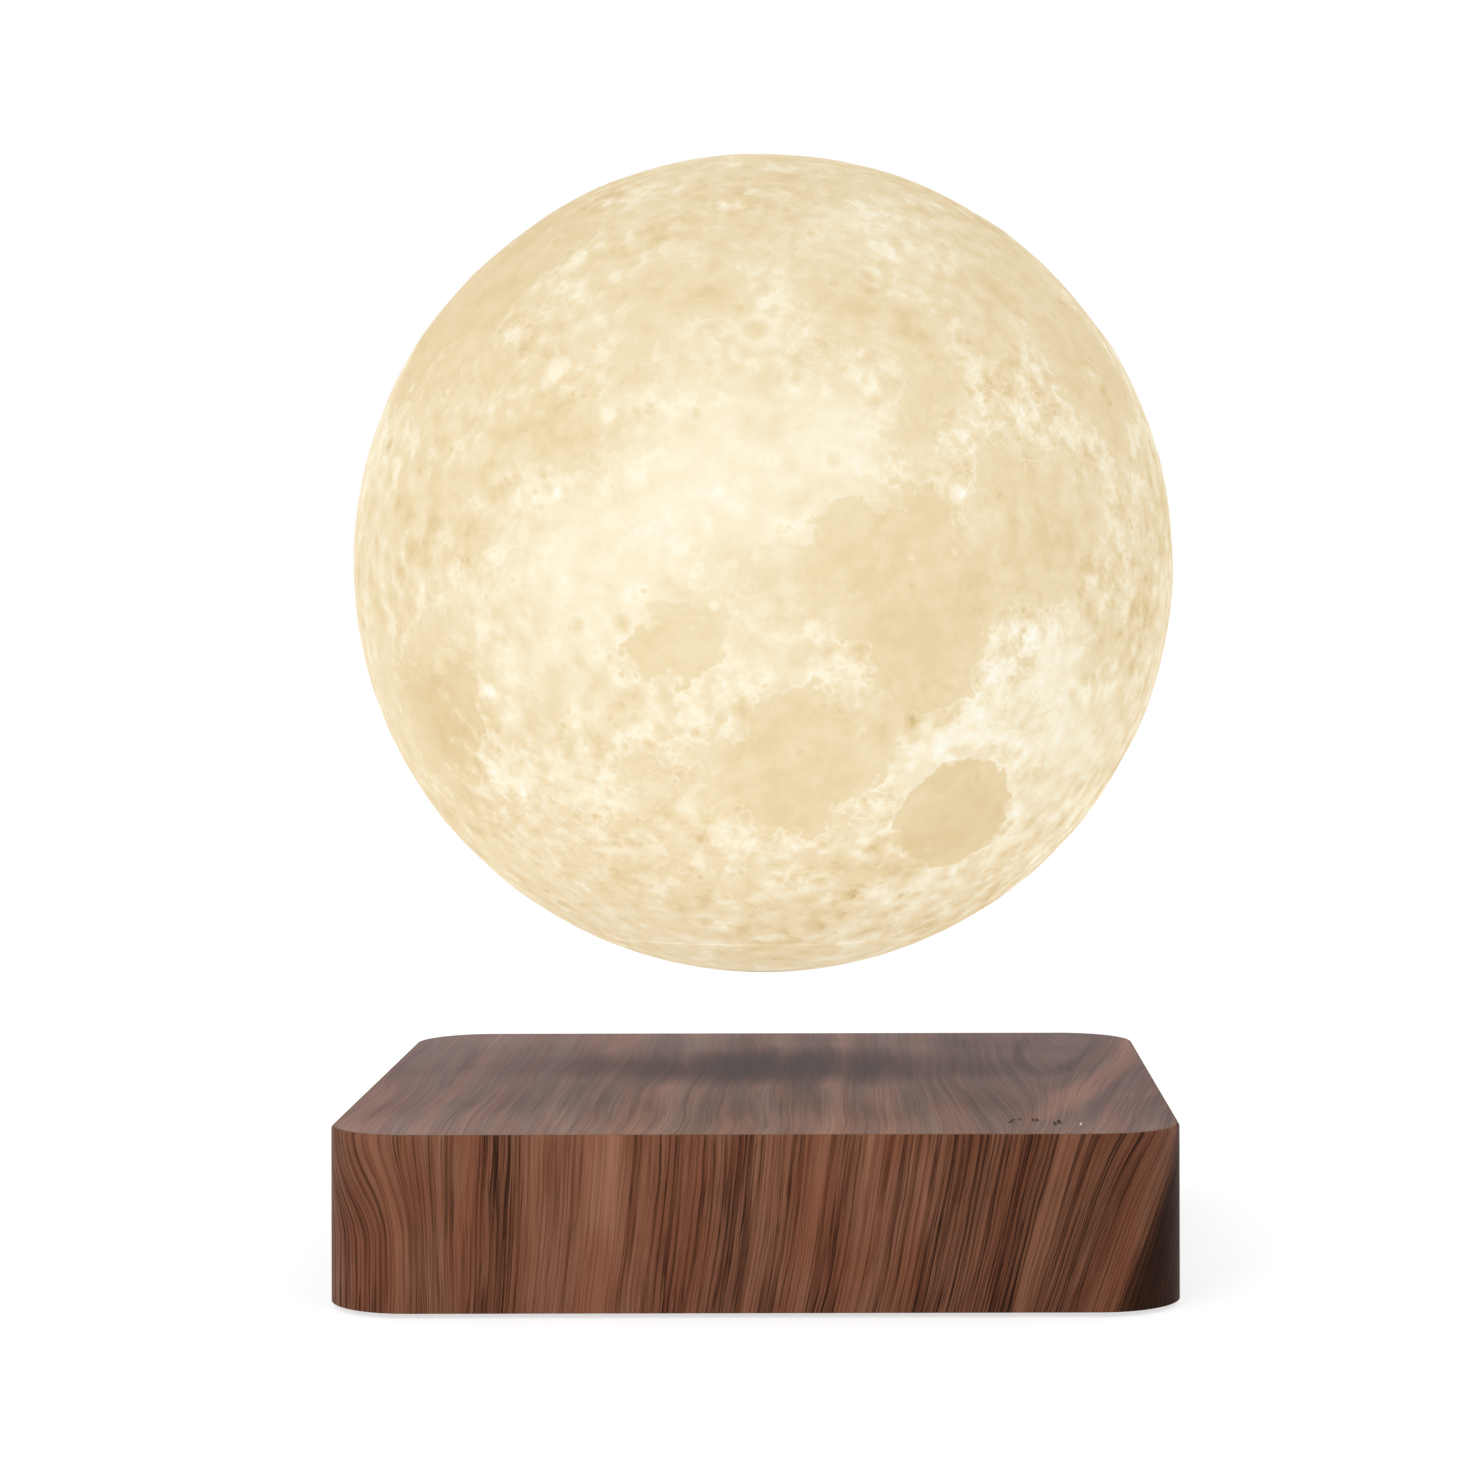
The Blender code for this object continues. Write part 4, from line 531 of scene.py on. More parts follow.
        (-39, 3, 4.5, -0.55), (1.9, 59.6, 15.4, -0.45), (-4.1, 30.7, 15.4, -0.22), (-26, 17.6, 7.5, -0.72),
        (23, 35.9, 8.4, -0.3), (-49.1, -38, 7, -0.75), (-46.5, -29, 4, -0.6), (-7.8, -36.7, 6, -0.4),
        (-1.5, -18.7, 3, -0.35), (38.7, -11.8, 2.6, -0.5), (65.2, -7.8, 5, -0.85), (38.2, 24, 8.4, -0.5),
        (-49.5, 5.4, 9.8, -0.55), (-55.2, -7.8, 7, -0.5), (-38.6, 28.7, 8.4, -0.4),
        (-25.2, -49, 18.2, -0.3), (4.4, -58.4, 12.6, -0.35), (62, -7.8, 8.4, -0.7), (20.4, -44.6, 7, -0.4),
        (81.3, -28.2, 8.4, -0.3), (-33, 11.6, 7, -0.4), (-23.3, -26.5, 8.4, -0.2),
        (-56.5, -35, 11.2, -0.55), (76, 4, 10, -0.6), (-74, -38, 13, -0.6), (-60, -55, 12, -0.4),
        (72.9, -61.2, 9.8, -0.5), (49.7, 17.4, 5.6, -0.3), (-60, 60, 20, -0.5), (60, 62, 22, -0.5),
        (180, 40, 25, -0.4), (100, -30, 16, -0.4), (-100, 0, 14, -0.5),
    ],
    # rays round young craters, with their number and strength
    "rays": [
        (-29.1, 25.7, 8.7, 9, 1.2), (-39.4, -28.7, 16.8, 15, 1.1), (31.3, -20.1, 8.4, 5, 0.7),
        (-19.6, 18.4, 4.2, 6, 0.6), (24.5, 45.2, 5.6, 7, 0.5), (160, -12, 14, 11, 0.8),
        (-118, 48, 10, 9, 0.7),
    ],
    # craters with a rim that shows in the tone
    "craters": [
        (-4.3, -21, 1.2), (-14.7, -24.3, 1), (-18.4, -24.6, 0.9), (-6.1, -21.8, 0.9), (41.7, -26.4, 1.3),
        (46.8, -29.1, 1), (-16.7, -8.1, 1.6), (-8.5, -16.7, 1.2), (-16.1, -20.8, 0.9), (-12.7, -21.9, 1),
        (-10.4, -19.7, 0.9), (-7.9, -22.8, 0.9), (20.8, -3.5, 1), (-34.8, -10.3, 1.1), (-30.8, -7.1, 1),
        (-28.4, 10.9, 1.3), (15.7, 23.2, 0.9), (-26.3, -35.4, 0.9), (-53, -50.9, 1), (-54.2, -56.4, 0.9),
        (-24.7, -40.3, 1.2), (-44.7, -42.8, 1.3), (-44.9, -33.3, 1.5), (-33.5, -32.9, 1), (-1.5, -18, 0.9),
        (16.5, -52, 1.2), (23.2, -51, 1), (31.7, -51.3, 1), (39.7, -47.3, 1), (52.2, -48, 1.2),
        (59.4, -42.5, 1), (53.7, -15.8, 1.2), (46.4, -10.4, 0.9), (56.8, -3.8, 1), (34.9, -11.6, 1),
        (19.6, -42.3, 1), (3.7, -46.4, 1.2), (-6.5, -50.7, 1), (-13.5, -46.5, 1.2), (-22.6, -52.3, 1),
        (-43.3, -60.1, 1), (22.2, -61.9, 1), (-42.1, 21.5, 0.9), (-24, 28.8, 0.9), (-13.8, 19.3, 1),
        (-40.8, 0.1, 1.2), (142, 34, 3), (-160, -20, 3.6), (118, 40, 2.6), (-136, 58, 3), (176, 30, 2.8),
        (-98, -50, 3.2), (98, 28, 2.2), (130, -8, 2.8),
    ],
    "swell": 0.9,  # how far neighbouring seas run together
    "scattered": 300,  # more small craters, in places drawn by the seed
    "seed": 11,
    "raySeed": 51,
    "rim": 0.3,  # width of a crater's rim, as a part of its reach
}


def direction(longitude, latitude):
    a, b = math.radians(longitude), math.radians(latitude)
    return np.array([math.sin(a) * math.cos(b), -math.cos(a) * math.cos(b), math.sin(b)])


def apart(points, longitude, latitude):
    # angle in degrees from each point to a place on the globe
    return np.degrees(np.arccos(np.clip(points @ direction(longitude, latitude), -1, 1)))


def allCraters():
    # (longitude, latitude, reach) of the named places and the scattered ones
    draw = np.random.default_rng(globeMap["seed"])
    craters = list(globeMap["craters"])
    seas = np.array(globeMap["seas"])
    middles = np.array([direction(*sea[:2]) for sea in seas])
    for _ in range(globeMap["scattered"]):
        longitude = draw.uniform(-180, 180)
        latitude = math.degrees(math.asin(draw.uniform(-0.93, 1)))
        reach = 0.9 + 1.6 * draw.random() ** 3
        # the seas have only small ones
        gap = apart(middles, longitude, latitude) - seas[:, 2]
        craters.append((longitude, latitude, reach if gap.min() > reach else min(reach, 1)))
    return craters


def raySpokes(points, number, longitude, latitude, reach, count):
    # bright spokes that fade outwards, in directions drawn by a seed
    centre = direction(longitude, latitude)
    east = np.cross([0, 0, 1], centre)
    east /= np.linalg.norm(east)
    turn = np.arctan2(points @ np.cross(centre, east), points @ east)
    gap = apart(points, longitude, latitude)
    spoke = np.zeros(len(points))
    draw = np.random.default_rng(globeMap["raySeed"] + number)
    for _ in range(count):
        aim, width, long = draw.uniform(-math.pi, math.pi), draw.uniform(0.1, 0.24), draw.uniform(0.6, 1.4)
        miss = np.abs((turn - aim + math.pi) % (2 * math.pi) - math.pi)
        spoke = np.maximum(spoke, np.exp(-(miss / width) ** 2) * np.exp(-(gap / (reach * long)) ** 2))
    return spoke * 0.6


def globeTones(points):
    # at each point: degrees inside the seas' shores, their depth, bright spots, broad light and crater relief
    look = globeMap
    total = np.full(len(points), 1e-6)
    depth = np.full(len(points), 0.6e-6)
    glow, light, dim, bowl = np.zeros((4, len(points)))
    for longitude, latitude, reach, level in look["seas"]:
        inside = (reach - apart(points, longitude, latitude)) / look["swell"]
        part = np.exp(np.clip(inside, -12, 12))
        total += part
        depth += part * level
    depth /= total
    shore = np.clip(np.log(total) * look["swell"], -8, 6)
    for longitude, latitude, reach, level in look["spots"]:
        glow = np.maximum(glow, level / (1 + (apart(points, longitude, latitude) / reach) ** 4))
    for number, (*ray, level) in enumerate(look["rays"]):
        glow = np.maximum(glow, level * raySpokes(points, number, *ray))
    for longitude, latitude, reach, level in look["highlands"]:
        part = abs(level) * np.exp(-(apart(points, longitude, latitude) / reach) ** 2)
        if level > 0:
            light = np.maximum(light, part)
        else:
            dim = np.maximum(dim, part)
    for longitude, latitude, reach in allCraters():
        gap = apart(points, longitude, latitude) / reach
        near = gap < 2.2
        inside = gap[near]
        rim = np.exp(-((inside - 1) / look["rim"]) ** 2)
        floor = np.where(inside < 1, -(1 - inside ** 2), 0)
        bowl[near] += (rim * 0.5 + floor * 0.8) * min(1, 0.35 + reach * 0.2)
    for longitude, latitude, reach, level in look["pits"]:
        bowl -= level * np.exp(-(apart(points, longitude, latitude) / reach) ** 2)
    return shore, depth, glow, light - dim, np.clip(bowl, -1.2, 1)


globeFinish = {
    "tones": [
        (0, "#c8ae7e"), (0.15, "#dcc493"), (0.3, "#e7d1a6"), (0.4, "#eddab2"), (0.5, "#f1e0bc"),
        (0.62, "#f6e9ca"), (0.75, "#faf0d4"), (0.88, "#fdf6df"), (1, "#fffcef"),
    ],
    "body": 0.4,  # share of the tone that the plastic reflects
    "glow": 0.62,  # share that the light inside gives, and how it changes from the bottom to the top: raised towards the bottom as painted light where the underside gets no lamp light, and lowered a little at the top as painted shade
    "glowPaintedByHeight": [(-1, 1.36), (-0.4, 1), (0.4, 1), (1, 0.88)],
    "middle": 0.1489,  # height of the globe's middle, and its radius
    "radius": 0.0893,
    "sea": 0.345,
    "ground": 0.51,
    # the print's noises: scale, detail and roughness
    "noises": {
        "mottle": (38, 4, 0.55),
        "ragged": (95, 4, 0.6),
        "crumbs": (215, 2, 0.52),
        "frayed": (620, 3, 0.6),
        "worms": (330, 1, 0.5),
    },
    "streaks": (170, 3, 0.58),
    "pocks": 300,
}


def makeGlobePrint(name, mouth=None):
    # cream printed plastic, lit from inside; over the cap the light fades towards the magnet
    look = globeFinish
    finish = Finish(name)
    place = finish.place()
    shore, depth, glow = finish.axes(finish.node("Attribute", {"attribute_name": "tones"}, output="Vector"))
    light, bowl, _ = finish.axes(finish.node("Attribute", {"attribute_name": "relief"}, output="Vector"))
    noises = [finish.grain(place, *numbers) - 0.5 for numbers in look["noises"].values()]
    mottle, ragged, crumbs, frayed, worms = noises
    tilted = finish.mapped(place, Rotation=(0.5, 0.9, 0.3), Scale=(1, 0.55, 1.6))
    streaks = finish.grain(tilted, *look["streaks"]) - 0.5
    pocks = finish.cells(place, look["pocks"], 1)
    # ragged shores, but smooth ones round the deepest sea
    shore = shore + (ragged * 11 + crumbs * 11 + frayed * 4) * finish.step(depth, 1, 1.2, 1, 0.36)
    soft = 1.9 - depth * 1.4
    flooded = finish.step(shore, soft * -1, soft) * finish.calc("MINIMUM", depth, 1)
    rings = finish.step(abs(pocks - 0.34), 0.12, 0) * 0.12 - finish.step(pocks, 0.26, 0.1) * 0.2
    rings = rings * finish.step(ragged, -0.02, 0.1)
    ridges = finish.step(abs(worms), 0.055, 0) * finish.step(mottle, -0.08, 0.1) * 0.13
    spot = finish.step(glow + frayed * 0.8 + crumbs * 0.5, 0.3, 0.85)
    east, north, height = finish.axes(place)
    height = (height - look["middle"]) / look["radius"]
    # the print is crisper towards the lower right
    crisp = finish.step(east * 9 - height * 0.7, -0.5, 0.7, 0.72, 1.3)
    # and calmer towards the lower left and the top and right edges
    calm = finish.step(height + east * 4, -1, -0.45, 0.62, 1)
    calm = calm * finish.step(height + east * 3, 0.75, 1, 1, 0.75) * finish.step(east, 0.066, 0.086, 1, 0.72)
    fine = (crumbs * 0.78 + frayed * 0.05 + streaks * 0.26 + rings * 0.55 + ridges) * crisp * calm
    # a bright broken bank along the shores
    bank = finish.step(shore, -4.5, -1.2) * finish.step(crumbs + ragged * 0.6 + worms * 0.3, 0, 0.12)
    ground = look["ground"] + light * 0.245 + (mottle * 0.34 + ragged * 0.28) * calm + bowl * 0.28
    ground = ground + bank * 0.1 + fine * finish.step(light, -0.2, 0.7, 1.2, 0.6)
    sea = look["sea"] + (1 - depth) * 0.1 + mottle * 0.26 + ragged * 0.24 + crumbs * 0.22
    sea = sea + frayed * 0.1 + bowl * 0.2 + streaks * 0.1
    tone = ground + (sea - ground) * flooded + spot * 0.24
    colour = finish.ramp(tone, look["tones"])
    # painted light and shade: the glow is stronger towards the bottom and a little weaker at the top
    lit = finish.curve(height, look["glowPaintedByHeight"], "B_SPLINE") * look["glow"]
    glowing = finish.scaled(colour, lit)
    if mouth:
        out = (east * east + north * north) ** 0.5
        glowing = finish.scaled(glowing, finish.step(out, mouth * 0.15, mouth * 0.55, 0.6, 1))
    return finish.surface(
        Base_Color=finish.scaled(colour, look["body"]),
        Emission_Color=glowing,
        Emission_Strength=1,
        Roughness=finish.step(tone, 0.2, 0.9, 0.66, 0.56),
        Specular_IOR_Level=0.06,
        Normal=finish.bump(streaks * 0.4 + crumbs * 0.45 + frayed * 0.2 + flooded * -0.5, 0.00035, 0.5),
    )


def makeGlobeInside():
    finish = Finish("globeInside")
    place = finish.place()
    layers = finish.grain(finish.mapped(place, Scale=(0.2, 0.2, 9)), 300)
    cloud = finish.grain(place, 30, 3)
    colour = finish.between(layers * 0.5 + cloud * 0.5, 0.3, 0.7, ("#efdcb4", "#fff4d8"))
    return finish.surface(
        Base_Color=colour,
        Emission_Color=colour,
        Emission_Strength=0.5,
        Roughness=0.6,
        Normal=finish.bump(layers, 0.0002, 0.4),
    )


# plain finishes of the parts inside and underneath
def makeMoulded(name, colours, rough, graining=2600, deep=0.00004):
    # moulded plastic or rubber with a fine spark-eroded texture
    finish = Finish(name)
    place = finish.place()
    skin = finish.grain(place, graining, 3, 0.6)
    flow = finish.grain(place, 55, 3, 0.55)
    return finish.surface(
        Base_Color=finish.between(skin * 0.35 + flow * 0.65, 0.35, 0.65, colours),
        Roughness=finish.step(flow, 0.3, 0.7, rough - 0.06, rough + 0.06),
        Normal=finish.bump(skin, deep, 0.7),
    )


def makeMetal(name, colours, rough, centre=None):
    # brushed metal, or turned where it has a centre: the marks then go round the part's own axis
    finish = Finish(name)
    place = finish.place()
    if centre:
        _, _, z, reach = finish.aroundAxis(centre)
        marks = finish.sheet(reach * 9000, z * 9000, 0)
    else:
        marks = finish.grain(finish.mapped(place, Scale=(1, 12, 12)), 420, 3, 0.6)
    worn = marks * 0.5 + finish.grain(place, 120, 4, 0.6) * 0.5
    return finish.surface(
        Base_Color=finish.between(worn, 0.35, 0.65, colours),
        Metallic=1,
        Roughness=finish.step(worn, 0.3, 0.7, rough - 0.07, rough + 0.09),
        Normal=finish.bump(marks, 0.00002, 0.5),
    )


def makeWinding(name, centre, pitch):
    # enamelled wire: turns across the height on the side, and across the radius on the ends
    finish = Finish(name)
    x, y, z, reach = finish.aroundAxis(centre)
    end = finish.step(finish.upright(), 0.45, 0.55)
    turns = reach * end + z * (1 - end)
    wave = finish.calc("SINE", turns * (2 * math.pi / pitch)) * 0.5 + 0.5
    ply = finish.sheet(turns * 700, finish.calc("ARCTAN2", y, x) * 2, 0)
    return finish.surface(
        Base_Color=finish.between(wave * 0.75 + ply * 0.25, 0.15, 0.8, ("#7c3a1c", "#c97a4a")),
        Metallic=0.85,
        Roughness=finish.step(ply, 0.3, 0.7, 0.28, 0.42),
        Normal=finish.bump(wave, pitch * 0.35, 0.9),
        Coat_Weight=0.3,
    )


def makeBoard(name, mask, track, rough=0.38):
    # circuit board: solder mask with tracks and pads under it, bare glass-fibre edges
    finish = Finish(name)
    place = finish.place()
    x, y, _ = finish.axes(place)
    bend = finish.grain(place, 60, 0)
    lanes = finish.calc("SINE", x * 2600 + finish.step(bend, 0.47, 0.53) * 3)
    cross = finish.calc("SINE", y * 2600 + finish.step(bend, 0.4, 0.44) * 3)
    which = finish.step(finish.grain(place, 85, 1), 0.49, 0.51)
    tracks = finish.step(lanes * which + cross * (1 - which), 0.45, 0.7)
    pads = finish.step(finish.cells(place, 260, 0.85), 0.2, 0.16)
    weave = finish.grain(finish.mapped(place, Scale=(1, 1, 8)), 1500)
    side = finish.step(finish.upright(), 0.6, 0.4)
    colour = finish.mix(tracks * 0.55, screen(mask), screen(track))
    colour = finish.mix(pads * 0.8, colour, screen("#c9c4b6"))
    return finish.surface(
        Base_Color=finish.mix(side, colour, finish.between(weave, 0.3, 0.7, ("#8c8a58", "#b9b487"))),
        Roughness=finish.step(pads + side, 0, 1, rough, rough + 0.15),
        Normal=finish.bump(tracks * 0.4 + pads * 0.6 + weave * side * 0.4, 0.00004, 0.7),
    )


def makeLead(name, colours):
    finish = Finish(name)
    scuff = finish.grain(finish.place(), 300, 3)
    return finish.surface(
        Base_Color=finish.between(scuff, 0.3, 0.7, colours),
        Roughness=finish.step(scuff, 0.3, 0.7, 0.38, 0.52),
        Coat_Weight=0.15,
    )


def makeFrosted(name, colours, glow, strength):
    # frosted clear plastic or phosphor, lit from behind
    finish = Finish(name)
    cloud = finish.grain(finish.place(), 380, 4, 0.6)
    colour = finish.between(cloud, 0.3, 0.7, colours)
    return finish.surface(
        Base_Color=colour,
        Emission_Color=finish.mix(0.6, colour, screen(glow)),
        Emission_Strength=strength,
        Roughness=finish.step(cloud, 0.3, 0.7, 0.25, 0.42),
        Normal=finish.bump(cloud, 0.00003, 0.4),
    )


nodeFinishes = {
    "turned": ("led_post", "filter_capacitor", "float_magnet", "yoke_ring", "base_magnet"),  # starts of names
    "coilPitch": 0.0005,  # from turn to turn of the electromagnets' wire
    "wirePitch": 0.0009,
}


def centreOf(node):
    low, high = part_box(node)
    return tuple((low + high) / 2)


def dressNodes():
    # each CAD node gets the finish of its slot, or one of its own
    finishes = {
        "black_plastic": makeMoulded("blackMoulded", ("#141416", "#202023"), 0.48),
        "rubber": makeMoulded("footRubber", ("#0f0f10", "#1b1b1c"), 0.82, 1500, 0.00008),
        "steel": makeMetal("zincSteel", ("#8f9296", "#b9bbbd"), 0.34),
        "nickel": makeMetal("nickelPlate", ("#b4ada1", "#d6d1c8"), 0.22),
        "board_green": makeBoard("boardGreen", "#0d4a26", "#2a7a45"),
        "board_white": makeBoard("boardWhite", "#e2e2dc", "#f4f4f0", 0.34),
        "foam": makeMoulded("padFoam", ("#2b2b2d", "#47474a"), 0.95, 900, 0.0004),
        "ferrite": makeMoulded("ferrite", ("#2a2a2c", "#3c3c40"), 0.66, 1800, 0.00008),
        "clear_plastic": makeFrosted("frostedLens", ("#dcd8cc", "#f6f2e8"), "#fff0cc", 0.8),
        "lead_red": makeLead("redLead", ("#7c100c", "#b5221a")),
        "led_yellow": makeFrosted("phosphor", ("#d9a83a", "#f2cf62"), "#ffdf8a", 1.6),
        "cap_plastic": makeMoulded("capPlastic", ("#dccfae", "#eee3c6"), 0.55, 1900),
    }
    chip = makeMoulded("chipEpoxy", ("#1a1a1b", "#2a2a2b"), 0.58, 3800, 0.00003)
    indicator = makeFrosted("indicatorLit", ("#b49c95", "#d2bdb7"), "#ffe8e2", 0.16)
    own = {"mcu_chip": chip, "coil_driver_chip": chip, "indicator_led": indicator}
    for name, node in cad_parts.items():
        slot = node.material_slots[0].material.name
        if name in own:
            finish = own[name]
        elif slot == "copper":
            pitch = nodeFinishes["coilPitch"] if name.startswith("coil") else nodeFinishes["wirePitch"]
            finish = makeWinding(name + "Wire", centreOf(name), pitch)
        elif name.startswith(nodeFinishes["turned"]):
            metal = ("#a9abae", "#d2d4d6") if slot == "aluminium" else ("#a8a196", "#cfcac0")
            finish = makeMetal(name + "Turned", metal, 0.26, centreOf(name))
        else:
            finish = finishes.get(slot)
        # the base cover and the globe have none here, since pieces made below replace them
        if finish:
            for holder in node.material_slots:
                holder.material = finish


dressNodes()
print("nodes dressed")


# modelling by hand
def clearSelection():
    if bpy.context.mode != "OBJECT":
        bpy.ops.object.mode_set(mode="OBJECT")
    bpy.ops.object.select_all(action="DESELECT")


def only(piece):
    clearSelection()
    piece.select_set(True)
    bpy.context.view_layer.objects.active = piece


def named(name):
    piece = bpy.context.object
    piece.name = name
    piece.data.name = name
    return piece


def edit(whole=False):
    # into edit mode, with the whole mesh selected where a step needs it
    bpy.ops.object.mode_set(mode="EDIT")
    if whole:
        bpy.ops.mesh.select_all(action="SELECT")


def endEdit():
    bpy.ops.object.mode_set(mode="OBJECT")


def pick(piece, kind, test):
    # selects only the points, edges or faces that pass the test; edit mode
    bpy.ops.mesh.select_mode(type=kind)
    bpy.ops.mesh.select_all(action="DESELECT")
    mesh = bmesh.from_edit_mesh(piece.data)
    for part in {"VERT": mesh.verts, "EDGE": mesh.edges, "FACE": mesh.faces}[kind]:
        if test(part):
            part.select_set(True)
    mesh.select_flush_mode()
    bmesh.update_edit_mesh(piece.data)


def pickUprights(piece):
    pick(piece, "EDGE", lambda e: abs(e.verts[0].co.z - e.verts[1].co.z) > 1e-5)


def pickRim(piece, level):
    # the edges of the topmost face
    pick(piece, "EDGE", lambda e: all(v.co.z > level - 1e-6 for v in e.verts))


def extrudeUp(height):
    bpy.ops.mesh.extrude_region_move(TRANSFORM_OT_translate={"value": (0, 0, height)})


def applyModifier(piece, kind, **settings):
    bpy.context.view_layer.objects.active = piece
    modifier = piece.modifiers.new(kind.lower(), kind)
    for key, value in settings.items():
        setattr(modifier, key, value)
    bpy.ops.object.modifier_apply(modifier=modifier.name)


def carve(piece, tool, how="DIFFERENCE"):
    # cuts the tool out of the piece, or joins it on, and removes it
    only(piece)
    applyModifier(piece, "BOOLEAN", object=tool, operation=how, solver="EXACT")
    bpy.data.objects.remove(tool)


def settle(piece):
    # place and size go into the mesh
    only(piece)
    bpy.ops.object.transform_apply(location=True, rotation=True, scale=True)


def smooth(piece, angle):
    only(piece)
    bpy.ops.object.shade_smooth_by_angle(angle=math.radians(angle))


def rod(radius, depth, at, sides=48, turn=(0, 0, 0)):
    clearSelection()
    size = {"vertices": sides, "radius": radius, "depth": depth}
    bpy.ops.mesh.primitive_cylinder_add(location=at, rotation=turn, **size)
    return named("rod")


# walnut cover
coverShape = {
    "corner": 0.017,
    "cornerSteps": 26,
    "edge": 0.0007,
    "edgeSteps": 4,
    "wall": 0.005,
    "roof": 0.004,
    "bossInset": 0.0135,
    "bossRadius": 0.0045,
    "bossLow": 0.0048,
    "screwHole": 0.0017,
    "screwDeep": 0.0142,
    "socketHole": 0.0055,
    "lightHole": 0.00034,
    "lightWell": 0.001,
    "film": 0.00035,
    "drill": 0.012,  # length of the rods that cut the holes
    "near": 0.0002,  # a face this near the outline belongs to the sides
    "smooth": 32,
}


def wrapPlace(x, y, middle, half, corner):
    # distance round the cover's outline from the middle of the front, for a face with its middle there
    flat = half - corner
    quarter = corner * math.pi / 2
    side = -1 if middle.x < 0 else 1
    across = x * side
    if abs(middle.x) <= flat and middle.y > 0:
        return 3 * flat + 2 * quarter + flat - x
    if abs(middle.x) <= flat:
        return x
    if middle.y < -flat:
        return side * (flat + corner * (math.atan2(y + flat, across - flat) + math.pi / 2))
    if middle.y <= flat:
        return side * (2 * flat + quarter + y)
    return side * (3 * flat + quarter + corner * math.atan2(y - flat, across - flat))


def wrapCover(mesh, half, top):
    # finishes by place, for the wrapped sides and edge, the top, and the bare body, and the map of the sides
    mesh.materials.clear()
    for finish in (makeWalnutSides(), makeWalnutTop(), makeCoverInside()):
        mesh.materials.append(finish)
    wrap = mesh.uv_layers.new(name="wrap")
    corner, edge = coverShape["corner"], coverShape["edge"]
    near = coverShape["near"]
    flat = half - corner
    for face in mesh.polygons:
        middle = face.center
        beyond = math.hypot(max(abs(middle.x) - flat, 0), max(abs(middle.y) - flat, 0))
        outer = beyond > corner - edge - near and abs(face.normal.z) < 0.97
        if middle.z > top - 1e-5:
            face.material_index = 1
        elif outer and (face.normal.z > 0.02 or beyond > corner - near):
            face.material_index = 0
        else:
            face.material_index = 2
        for loop in face.loop_indices:
            point = mesh.vertices[mesh.loops[loop].vertex_index].co
            wrap.data[loop].uv = (wrapPlace(point.x, point.y, middle, half, corner), point.z)


def buildWalnutCover():
    shape = coverShape
    low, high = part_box("base_cover")
    half = high.x
    ceiling = high.z - shape["roof"]
    clearSelection()
    bpy.ops.mesh.primitive_cube_add(size=1, location=(low + high) / 2, scale=high - low)
    cover = named("walnut_cover")
    settle(cover)
    edit()
    pickUprights(cover)
    bpy.ops.mesh.bevel(offset=shape["corner"], segments=shape["cornerSteps"], profile=0.5, affect="EDGES")
    pickRim(cover, high.z)
    bpy.ops.mesh.bevel(offset=shape["edge"], segments=shape["edgeSteps"], profile=0.5, affect="EDGES")
    pick(cover, "FACE", lambda f: f.normal.z < -0.9)
    bpy.ops.mesh.inset(thickness=shape["wall"], depth=0)
    extrudeUp(ceiling - low.z)
    endEdit()

    reach = half - shape["bossInset"]
    top = ceiling + shape["roof"] / 2
    tall = top - shape["bossLow"]
    drill = shape["drill"]
    for x, y in [(x, y) for x in (-reach, reach) for y in (-reach, reach)]:
        carve(cover, rod(shape["bossRadius"], tall, (x, y, top - tall / 2)), "UNION")
        carve(cover, rod(shape["screwHole"], drill, (x, y, shape["screwDeep"] - drill / 2), 20))
    socket = centreOf("dc_jack_pin")
    carve(cover, rod(shape["socketHole"], drill, (socket[0], half, socket[2]), 64, (math.pi / 2, 0, 0)))
    x, y, _ = centreOf("indicator_light_pipe")
    carve(cover, rod(shape["lightWell"], drill, (x, y, high.z - shape["film"] - drill / 2), 24))
    carve(cover, rod(shape["lightHole"], drill, (x, y, high.z), 24))

    wrapCover(cover.data, half, high.z)
    smooth(cover, shape["smooth"])
    applyModifier(cover, "WEIGHTED_NORMAL", keep_sharp=True, weight=100)
    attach(cover, "base")
    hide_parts("base_cover")


buildWalnutCover()
print("walnut cover built")


# light pipe under the film, with a domed tip that stands out of it
lightShape = {
    "flange": 0.0018,
    "flangeTall": 0.0008,
    "stem": 0.0007,
    "tip": 0.00028,
    "proud": 0.00046,
    "dome": 0.85,  # share of the tip that is rounded
    "sides": 40,
    "smooth": 40,
}


def buildLightPipe():
    shape = lightShape
    x, y, _ = centreOf("indicator_light_pipe")
    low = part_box("indicator_light_pipe")[0].z
    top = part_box("base_cover")[1].z
    shoulder = top - coverShape["film"]
    rod(shape["flange"], shape["flangeTall"], (x, y, low + shape["flangeTall"] / 2), shape["sides"])
    pipe = named("light_pipe")
    settle(pipe)
    edit()
    pick(pipe, "FACE", lambda f: f.normal.z > 0.9)
    bpy.ops.mesh.inset(thickness=shape["flange"] - shape["stem"], depth=0)
    extrudeUp(shoulder - low - shape["flangeTall"])
    bpy.ops.mesh.inset(thickness=shape["stem"] - shape["tip"], depth=0)
    extrudeUp(top + shape["proud"] - shoulder)
    pickRim(pipe, top + shape["proud"])
    bpy.ops.mesh.bevel(offset=shape["tip"] * shape["dome"], segments=6, affect="EDGES")
    endEdit()
    pipe.data.materials.append(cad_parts["indicator_led"].material_slots[0].material)
    smooth(pipe, shape["smooth"])
    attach(pipe, "base")
    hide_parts("indicator_light_pipe")


buildLightPipe()
print("light pipe built")


